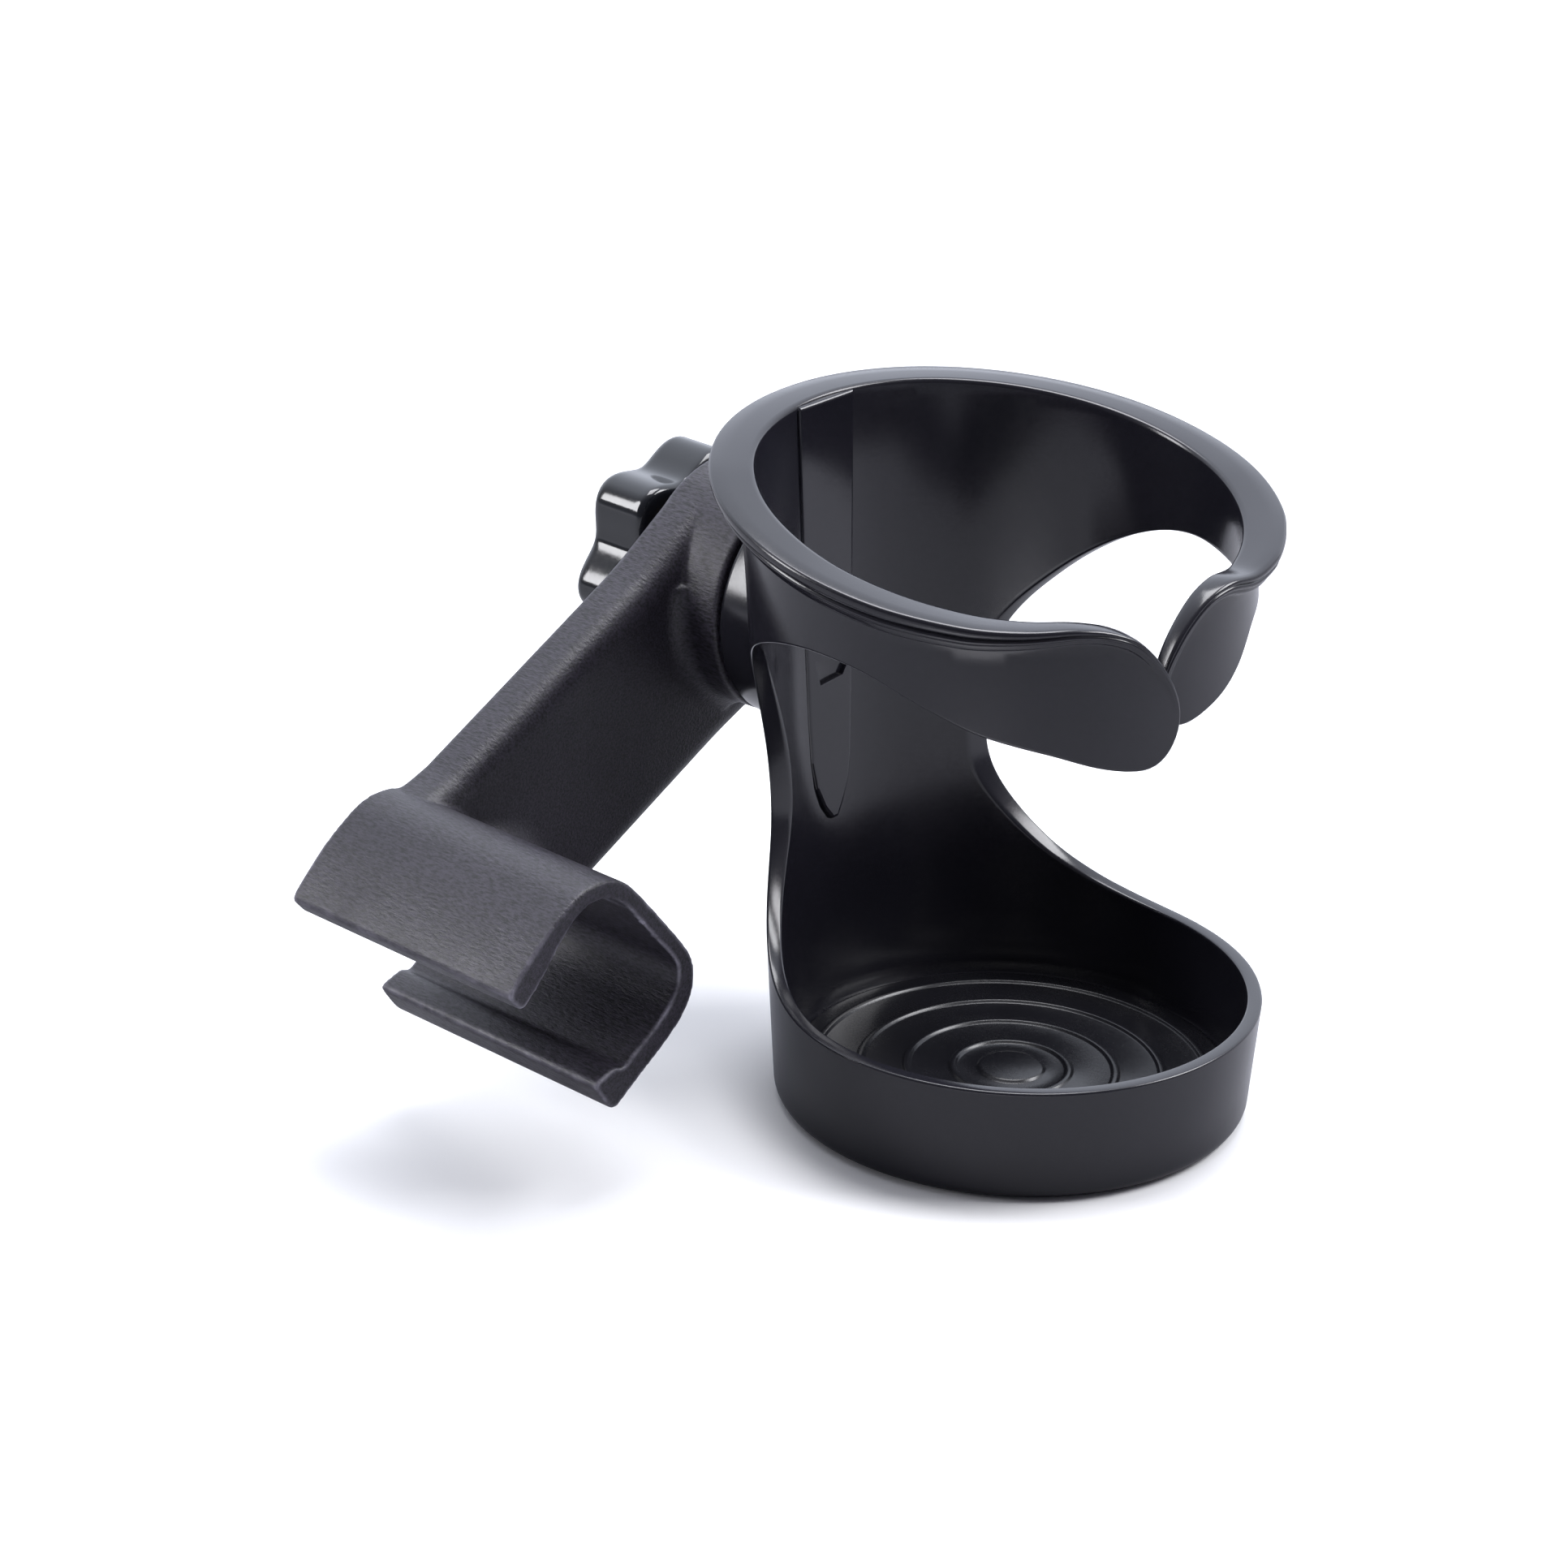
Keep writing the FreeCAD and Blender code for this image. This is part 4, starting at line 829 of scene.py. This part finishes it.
def knob_grip():
    """Six-lobed grip behind a round hub, hollow, with a seat for the cap in its back face."""
    low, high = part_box("knob_body")
    end = (high[0] - low[0]) * 1000
    hub = end - GRIP_LENGTH
    angle = np.linspace(0, 2 * math.pi, KNOB_SEGMENTS + 1)[:-1]
    wave = LOBE_HEIGHT * np.cos(LOBES * angle)

    def lobed(grow=0.0):
        return KNOB_RADIUS + grow + wave

    profile = [(BOLT_RADIUS, 0.0)]
    for a in np.linspace(0, math.pi / 2, 5):
        profile.append((HUB_RADIUS - HUB_ROUND + HUB_ROUND * math.sin(a),
                        HUB_ROUND * (1 - math.cos(a))))
    profile += [(r, hub) for r in (HUB_RADIUS, 10.5, 12.5, FLAT_R)]
    profile += [(FLAT_R * (1 - k) + lobed(grow) * k, hub) for k, grow in ((0.5, -2.6), (1.0, -1.9))]
    r = GRIP_FRONT_ROUND
    for a in np.linspace(0, math.pi / 2, 8)[1:]:
        profile.append((lobed(-r + r * math.sin(a)), hub + r * (1 - math.cos(a))))
    profile += [(lobed(), t) for t in np.linspace(hub + 2.8, end - 2.9, 7)]
    r = GRIP_BACK_ROUND
    for a in np.linspace(0, math.pi / 2, 9):
        profile.append((lobed(-r + r * math.cos(a)), end - r + r * math.sin(a)))
    profile += [
        (13.0 * 0.5 + lobed(-3.0) * 0.5, end), (11.5, end), (10.4, end - 0.05),
        (9.75, end - 0.3), (9.35, end - 0.8), (9.05, end - 1.1), (9.02, end - 1.4),
        (HOLLOW_RADIUS, end - 1.4), (HOLLOW_RADIUS, 0.6), (BOLT_RADIUS, 0.6)]
    return turned("knob_grip", profile, (high[0] * 1000, 0, PIVOT_Z),
                  segments=KNOB_SEGMENTS, turn=KNOB_TURN)


def knob_cap_disc():
    low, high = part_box("knob_cap")
    thick = (high[0] - low[0]) * 1000
    profile = [(0.0, 0.0), (8.6, 0.0), (8.85, 0.1), (8.93, 0.35)]
    # low dome: (radius, share of the thickness)
    profile += [(r, thick * share) for r, share in (
        (8.9, 0.45), (8.6, 0.62), (7.6, 0.74), (6.0, 0.86), (4.0, 0.95), (2.0, 0.99), (0.0, 1.0))]
    return turned("knob_cap_disc", profile, (high[0] * 1000, 0, PIVOT_Z))


knob = knob_grip()
fit(knob, "knob", "knob_body")
cap = knob_cap_disc()
fit(cap, "knob", "knob_cap")


# ------------------------------------------------------------------ shader helpers
def new_material(name):
    material = bpy.data.materials.new(name)
    material.use_nodes = True
    tree = material.node_tree
    tree.nodes.clear()
    output = tree.nodes.new("ShaderNodeOutputMaterial")
    shader = tree.nodes.new("ShaderNodeBsdfPrincipled")
    tree.links.new(shader.outputs[0], output.inputs[0])
    return material, tree, shader


def feed(tree, socket, value):
    """Links a socket, or sets a plain value."""
    if hasattr(value, "is_linked"):
        tree.links.new(value, socket)
    else:
        socket.default_value = value


def noise(tree, scale, detail, rough=0.55, stretch=None):
    coords = tree.nodes.new("ShaderNodeTexCoord")
    mapping = tree.nodes.new("ShaderNodeMapping")
    if stretch:
        mapping.inputs["Scale"].default_value = stretch
    tree.links.new(coords.outputs["Object"], mapping.inputs[0])
    node = tree.nodes.new("ShaderNodeTexNoise")
    node.inputs["Scale"].default_value = scale
    node.inputs["Detail"].default_value = detail
    node.inputs["Roughness"].default_value = rough
    tree.links.new(mapping.outputs[0], node.inputs["Vector"])
    return node.outputs["Fac"]


def ramp(tree, value, stops):
    """Colour ramp from (position, (red, green, blue)) stops."""
    node = tree.nodes.new("ShaderNodeValToRGB")
    elements = node.color_ramp.elements
    while len(elements) > 1:
        elements.remove(elements[-1])
    elements[0].position = stops[0][0]
    elements[0].color = (*stops[0][1], 1)
    for position, colour in stops[1:]:
        elements.new(position).color = (*colour, 1)
    tree.links.new(value, node.inputs[0])
    return node.outputs[0]


def remap(tree, value, to, span=(0.3, 0.7)):
    """Maps the span of the value onto the range "to"."""
    node = tree.nodes.new("ShaderNodeMapRange")
    node.inputs["From Min"].default_value, node.inputs["From Max"].default_value = span
    node.inputs["To Min"].default_value, node.inputs["To Max"].default_value = to
    tree.links.new(value, node.inputs["Value"])
    return node.outputs[0]


def mix_colour(tree, factor, a, b):
    node = tree.nodes.new("ShaderNodeMix")
    node.data_type = "RGBA"
    for index, value in ((0, factor), (6, a), (7, b)):
        feed(tree, node.inputs[index], value)
    return node.outputs[2]


def maths(tree, operation, a, b):
    node = tree.nodes.new("ShaderNodeMath")
    node.operation = operation
    feed(tree, node.inputs[0], a)
    feed(tree, node.inputs[1], b)
    return node.outputs[0]


def bump(tree, shader, height, strength, distance):
    node = tree.nodes.new("ShaderNodeBump")
    node.inputs["Strength"].default_value = strength
    node.inputs["Distance"].default_value = distance
    tree.links.new(height, node.inputs["Height"])
    tree.links.new(node.outputs[0], shader.inputs["Normal"])


def sharp_edges(tree, radius):
    """1 where the surface turns a sharp corner; the mask for the painted edge highlight."""
    bevel = tree.nodes.new("ShaderNodeBevel")
    bevel.samples = 4
    bevel.inputs["Radius"].default_value = radius
    geometry = tree.nodes.new("ShaderNodeNewGeometry")
    dot = tree.nodes.new("ShaderNodeVectorMath")
    dot.operation = "DOT_PRODUCT"
    tree.links.new(bevel.outputs[0], dot.inputs[0])
    tree.links.new(geometry.outputs["Normal"], dot.inputs[1])
    return remap(tree, dot.outputs["Value"], to=(1.0, 0.0), span=(0.86, 0.995))


def low_ridges(tree):
    """1 on convex mesh edges, fading out with height: the mask for the painted highlight on the
    clip's lip edges.
    """
    geometry = tree.nodes.new("ShaderNodeNewGeometry")
    ridge = remap(tree, geometry.outputs["Pointiness"], to=(0.0, 1.0), span=(0.509, 0.55))
    coords = tree.nodes.new("ShaderNodeTexCoord")
    split = tree.nodes.new("ShaderNodeSeparateXYZ")
    tree.links.new(coords.outputs["Object"], split.inputs[0])
    # keeps the painted highlight on the low clip lips and off the bar corners
    fade = remap(tree, split.outputs[2], to=(1.0, 0.0), span=(0.054, 0.061))
    return maths(tree, "MULTIPLY", ridge, fade)


# ------------------------------------------------------------------ materials
SPECK_COLOUR = (0.004, 0.004, 0.005, 1)


def plastic(name, dark, light, rough, grain_scale, grain, edge_highlight, specular,
            coat=0.0, stretch=None, highlight_colour=None, speck=None):
    """Moulded plastic: cloudy colour, smudged roughness, fine grain and a painted highlight that
    makes sharp edges lighter in patches.

    speck is the mix range between dark specks and the base colour.
    """
    material, tree, shader = new_material(name)
    cloud = noise(tree, scale=28.0, detail=3.0)
    fine = noise(tree, scale=grain_scale, detail=5.0, rough=0.6, stretch=stretch)
    smudge = noise(tree, scale=75.0, detail=4.0, rough=0.6, stretch=(1.0, 1.0, 0.35))
    base = ramp(tree, cloud, [(0.3, dark), (0.7, light)])
    if speck:
        spots = noise(tree, scale=grain_scale * 1.3, detail=3.0, rough=0.65, stretch=stretch)
        spots = remap(tree, spots, to=speck, span=(0.36, 0.64))
        base = mix_colour(tree, spots, SPECK_COLOUR, base)
        edges = low_ridges(tree)
    else:
        edges = sharp_edges(tree, radius=0.0006)
    # painted highlight: sharp edges are painted a lighter colour in noisy patches, in place of
    # light caught on rounded edges
    patchy = remap(tree, noise(tree, scale=220.0, detail=3.0), to=(0.25, 1.0), span=(0.38, 0.62))
    painted_edge_highlight = maths(tree, "MULTIPLY", edges, maths(tree, "MULTIPLY", patchy, edge_highlight))
    highlight_colour = highlight_colour or tuple(min(1.0, c * 3.0 + 0.03) for c in light)
    base = mix_colour(tree, painted_edge_highlight, base, (*highlight_colour, 1))
    tree.links.new(base, shader.inputs["Base Color"])
    roughness = maths(tree, "ADD", remap(tree, smudge, to=rough),
                      remap(tree, fine, to=(-0.03, 0.03)))
    tree.links.new(roughness, shader.inputs["Roughness"])
    shader.inputs["Specular IOR Level"].default_value = specular
    shader.inputs["Coat Weight"].default_value = coat
    shader.inputs["Coat Roughness"].default_value = 0.12
    height = maths(tree, "ADD", maths(tree, "MULTIPLY", fine, 0.8),
                   maths(tree, "MULTIPLY", cloud, 0.2))
    bump(tree, shader, height, strength=grain, distance=0.0004)
    return material


def metal(name, dark, light, rough):
    """Metal with fine turning lines."""
    material, tree, shader = new_material(name)
    cloud = noise(tree, scale=120.0, detail=4.0)
    lines = noise(tree, scale=900.0, detail=3.0, rough=0.7, stretch=(0.15, 1.0, 1.0))
    tree.links.new(ramp(tree, cloud, [(0.25, dark), (0.75, light)]), shader.inputs["Base Color"])
    shader.inputs["Metallic"].default_value = 1.0
    tree.links.new(remap(tree, lines, to=rough), shader.inputs["Roughness"])
    bump(tree, shader, lines, strength=0.12, distance=0.0002)
    return material


# Every plastic below gets a painted highlight along its sharp edges; one argument sets its
# strength.
SATIN = dict(dark=(0.0080, 0.0078, 0.0112), light=(0.0120, 0.0118, 0.0165),
             grain_scale=1500.0, grain=0.02, edge_highlight=0.30, specular=0.55)
CUP_SATIN = plastic("cup_black_satin", rough=(0.15, 0.21), **SATIN)
COVER_SATIN = plastic("cover_black_satin", rough=(0.12, 0.18), **SATIN)
# The arm's light grey edge colour is a painted highlight on the clip's lip edges.
ARM_GRAINED = plastic(
    "arm_grained", dark=(0.027, 0.0235, 0.0345), light=(0.040, 0.0350, 0.0500),
    rough=(0.36, 0.50), grain_scale=1900.0, grain=0.42, edge_highlight=0.9, specular=0.5,
    stretch=(0.30, 1.0, 1.0), highlight_colour=(0.26, 0.25, 0.30), speck=(0.0, 1.15))
KNOB_POLISHED = plastic(
    "knob_polished", dark=(0.0055, 0.0065, 0.0085), light=(0.008, 0.0095, 0.0125),
    rough=(0.08, 0.14), grain_scale=1300.0, grain=0.015, edge_highlight=0.2, specular=0.55, coat=0.2)
MAT_RUBBER = plastic(
    "mat_rubber", dark=(0.005, 0.005, 0.0065), light=(0.008, 0.008, 0.0105),
    rough=(0.20, 0.30), grain_scale=1200.0, grain=0.05, edge_highlight=0.2, specular=0.45)
FRICTION_RUBBER = plastic(
    "friction_rubber", dark=(0.006, 0.006, 0.006), light=(0.010, 0.010, 0.011),
    rough=(0.75, 0.9), grain_scale=1000.0, grain=0.3, edge_highlight=0.0, specular=0.25)
STEEL = metal("zinc_steel", dark=(0.52, 0.52, 0.54), light=(0.66, 0.66, 0.67), rough=(0.25, 0.42))
SPRING = metal("spring_steel", dark=(0.34, 0.34, 0.36), light=(0.46, 0.46, 0.48), rough=(0.3, 0.45))
BRASS = metal("turned_brass", dark=(0.62, 0.44, 0.18), light=(0.74, 0.55, 0.26), rough=(0.22, 0.38))


def paint(ob, material):
    if ob.data.materials:
        for slot in ob.material_slots:
            slot.material = material
    else:
        ob.data.materials.append(material)


for ob, material in ((cup, CUP_SATIN), (mat, MAT_RUBBER), (cover, COVER_SATIN),
                     (arm, ARM_GRAINED), (knob, KNOB_POLISHED), (cap, KNOB_POLISHED)):
    paint(ob, material)
for piece, material in (
        ("pivot_bolt", STEEL), ("friction_ring", FRICTION_RUBBER), ("bolt_end_clip", SPRING),
        ("pivot_bush", BRASS), ("spring_washer", SPRING), ("thrust_washer", STEEL),
        ("knob_insert", BRASS), ("cup_shell", CUP_SATIN), ("floor_mat", MAT_RUBBER),
        ("spine_cover", COVER_SATIN), ("arm_bracket", ARM_GRAINED),
        ("knob_body", KNOB_POLISHED), ("knob_cap", KNOB_POLISHED)):
    paint(frame["nodes"][piece], material)


# ------------------------------------------------------------------ floor and world
FLOOR_HALF = 3.0
FLOOR_CELLS = 24
FLOOR_Z = -0.0004


def studio_floor():
    """White floor to the camera, darker in reflections and bounced light."""
    mesh = bpy.data.meshes.new("studio_floor")
    bm = bmesh.new()
    n = FLOOR_CELLS
    for i in range(n + 1):
        for k in range(n + 1):
            bm.verts.new(((i / n - 0.5) * 2 * FLOOR_HALF, (k / n - 0.5) * 2 * FLOOR_HALF, FLOOR_Z))
    bm.verts.ensure_lookup_table()
    for i in range(n):
        for k in range(n):
            a = i * (n + 1) + k
            bm.faces.new([bm.verts[j] for j in (a, a + n + 1, a + n + 2, a + 1)])
    bm.to_mesh(mesh)
    bm.free()
    ob = new_object("studio_floor", mesh)
    material, tree, shader = new_material("studio_white")
    cloud = noise(tree, scale=3.0, detail=2.0)
    pale = ramp(tree, cloud, [(0.3, (0.90, 0.90, 0.905)), (0.7, (0.93, 0.93, 0.93))])
    dim = ramp(tree, cloud, [(0.3, (0.36, 0.36, 0.385)), (0.7, (0.40, 0.40, 0.425))])
    path = tree.nodes.new("ShaderNodeLightPath")
    tree.links.new(mix_colour(tree, path.outputs["Is Camera Ray"], dim, pale),
                   shader.inputs["Base Color"])
    shader.inputs["Roughness"].default_value = 0.9
    shader.inputs["Specular IOR Level"].default_value = 0.1
    mesh.materials.append(material)


def studio_world():
    """White to the camera; otherwise bright behind and above, dim on the near side."""
    world = bpy.data.worlds.new("studio")
    world.use_nodes = True
    tree = world.node_tree
    background = tree.nodes["Background"]
    background.inputs["Strength"].default_value = 1.0
    bpy.context.scene.world = world
    coords = tree.nodes.new("ShaderNodeTexCoord")
    dot = tree.nodes.new("ShaderNodeVectorMath")
    dot.operation = "DOT_PRODUCT"
    dot.inputs[1].default_value = Vector((-0.62, 0.69, 0.38)).normalized()
    tree.links.new(coords.outputs["Generated"], dot.inputs[0])
    level = ramp(tree, remap(tree, dot.outputs["Value"], to=(0.0, 1.0), span=(-1.0, 1.0)), [
        (0.0, (0.10, 0.10, 0.12)), (0.42, (0.16, 0.16, 0.19)), (0.64, (0.55, 0.56, 0.62)),
        (0.84, (1.35, 1.42, 1.60)), (1.0, (1.4, 1.48, 1.68))])
    path = tree.nodes.new("ShaderNodeLightPath")
    white = (1.0, 1.0, 1.0, 1.0)
    tree.links.new(mix_colour(tree, path.outputs["Is Camera Ray"], level, white),
                   background.inputs[0])


studio_floor()
studio_world()

# ------------------------------------------------------------------ camera
CAMERA_PLACE = (0.457692, -0.571681, 0.375461)
CAMERA_TURN = math.radians(42.119)       # from facing +y, towards -x
CAMERA_DIP = math.radians(23.317)        # below the horizon
CAMERA_ROLL = math.radians(1.794)


def add_camera():
    right = np.array([math.cos(CAMERA_TURN), math.sin(CAMERA_TURN), 0])
    ahead = np.array([-math.sin(CAMERA_TURN), math.cos(CAMERA_TURN), 0])
    up = np.array([0, 0, 1])
    forward = ahead * math.cos(CAMERA_DIP) - up * math.sin(CAMERA_DIP)
    down = -(ahead * math.sin(CAMERA_DIP) + up * math.cos(CAMERA_DIP))
    c, s = math.cos(CAMERA_ROLL), math.sin(CAMERA_ROLL)
    right, down = c * right - s * down, s * right + c * down
    data = bpy.data.cameras.new("camera")
    data.sensor_width = 36.0
    data.lens = 100.736609
    data.clip_start = 0.02
    ob = bpy.data.objects.new("camera", data)
    pose = Matrix.Identity(4)
    for i in range(3):
        pose[i] = (right[i], -down[i], -forward[i], CAMERA_PLACE[i])
    ob.matrix_world = pose
    bpy.context.scene.collection.objects.link(ob)
    bpy.context.scene.camera = ob


add_camera()

# ------------------------------------------------------------------ lights
COOL_WHITE = (1.0, 1.0, 1.03)


def place_light(data, location, target):
    ob = bpy.data.objects.new(data.name, data)
    ob.location = location
    ob.rotation_euler = (Vector(target) - Vector(location)).to_track_quat("-Z", "Y").to_euler()
    bpy.context.scene.collection.objects.link(ob)


def area_light(name, location, target, size, power, size_y=None):
    data = bpy.data.lights.new(name, "AREA")
    data.shape = "RECTANGLE"
    data.size = size
    data.size_y = size_y or size
    data.energy = power
    data.color = COOL_WHITE
    place_light(data, location, target)


def floor_pool():
    """Pool of light on the floor in front, for soft streaks inside the cup and on the tub."""
    data = bpy.data.lights.new("floor_pool", "SPOT")
    data.energy = 26.0
    data.spot_size = math.radians(26)
    data.spot_blend = 0.6
    data.shadow_soft_size = 0.03
    place_light(data, location=(0.21, -0.30, 0.36), target=(0.12, -0.18, 0.0))


area_light("key_top", location=(-0.15, 0.20, 1.0), target=(0, 0, 0.06), size=0.55, power=8.0)
area_light("back_right", location=(0.52, 0.58, 0.76), target=(0, 0, 0.06), size=0.5, power=9.0)
area_light("front_left", location=(-0.72, -0.80, 0.50), target=(-0.02, -0.03, 0.06),
           size=0.28, size_y=0.6, power=6.5)
floor_pool()

bpy.context.scene.view_settings.view_transform = "Standard"
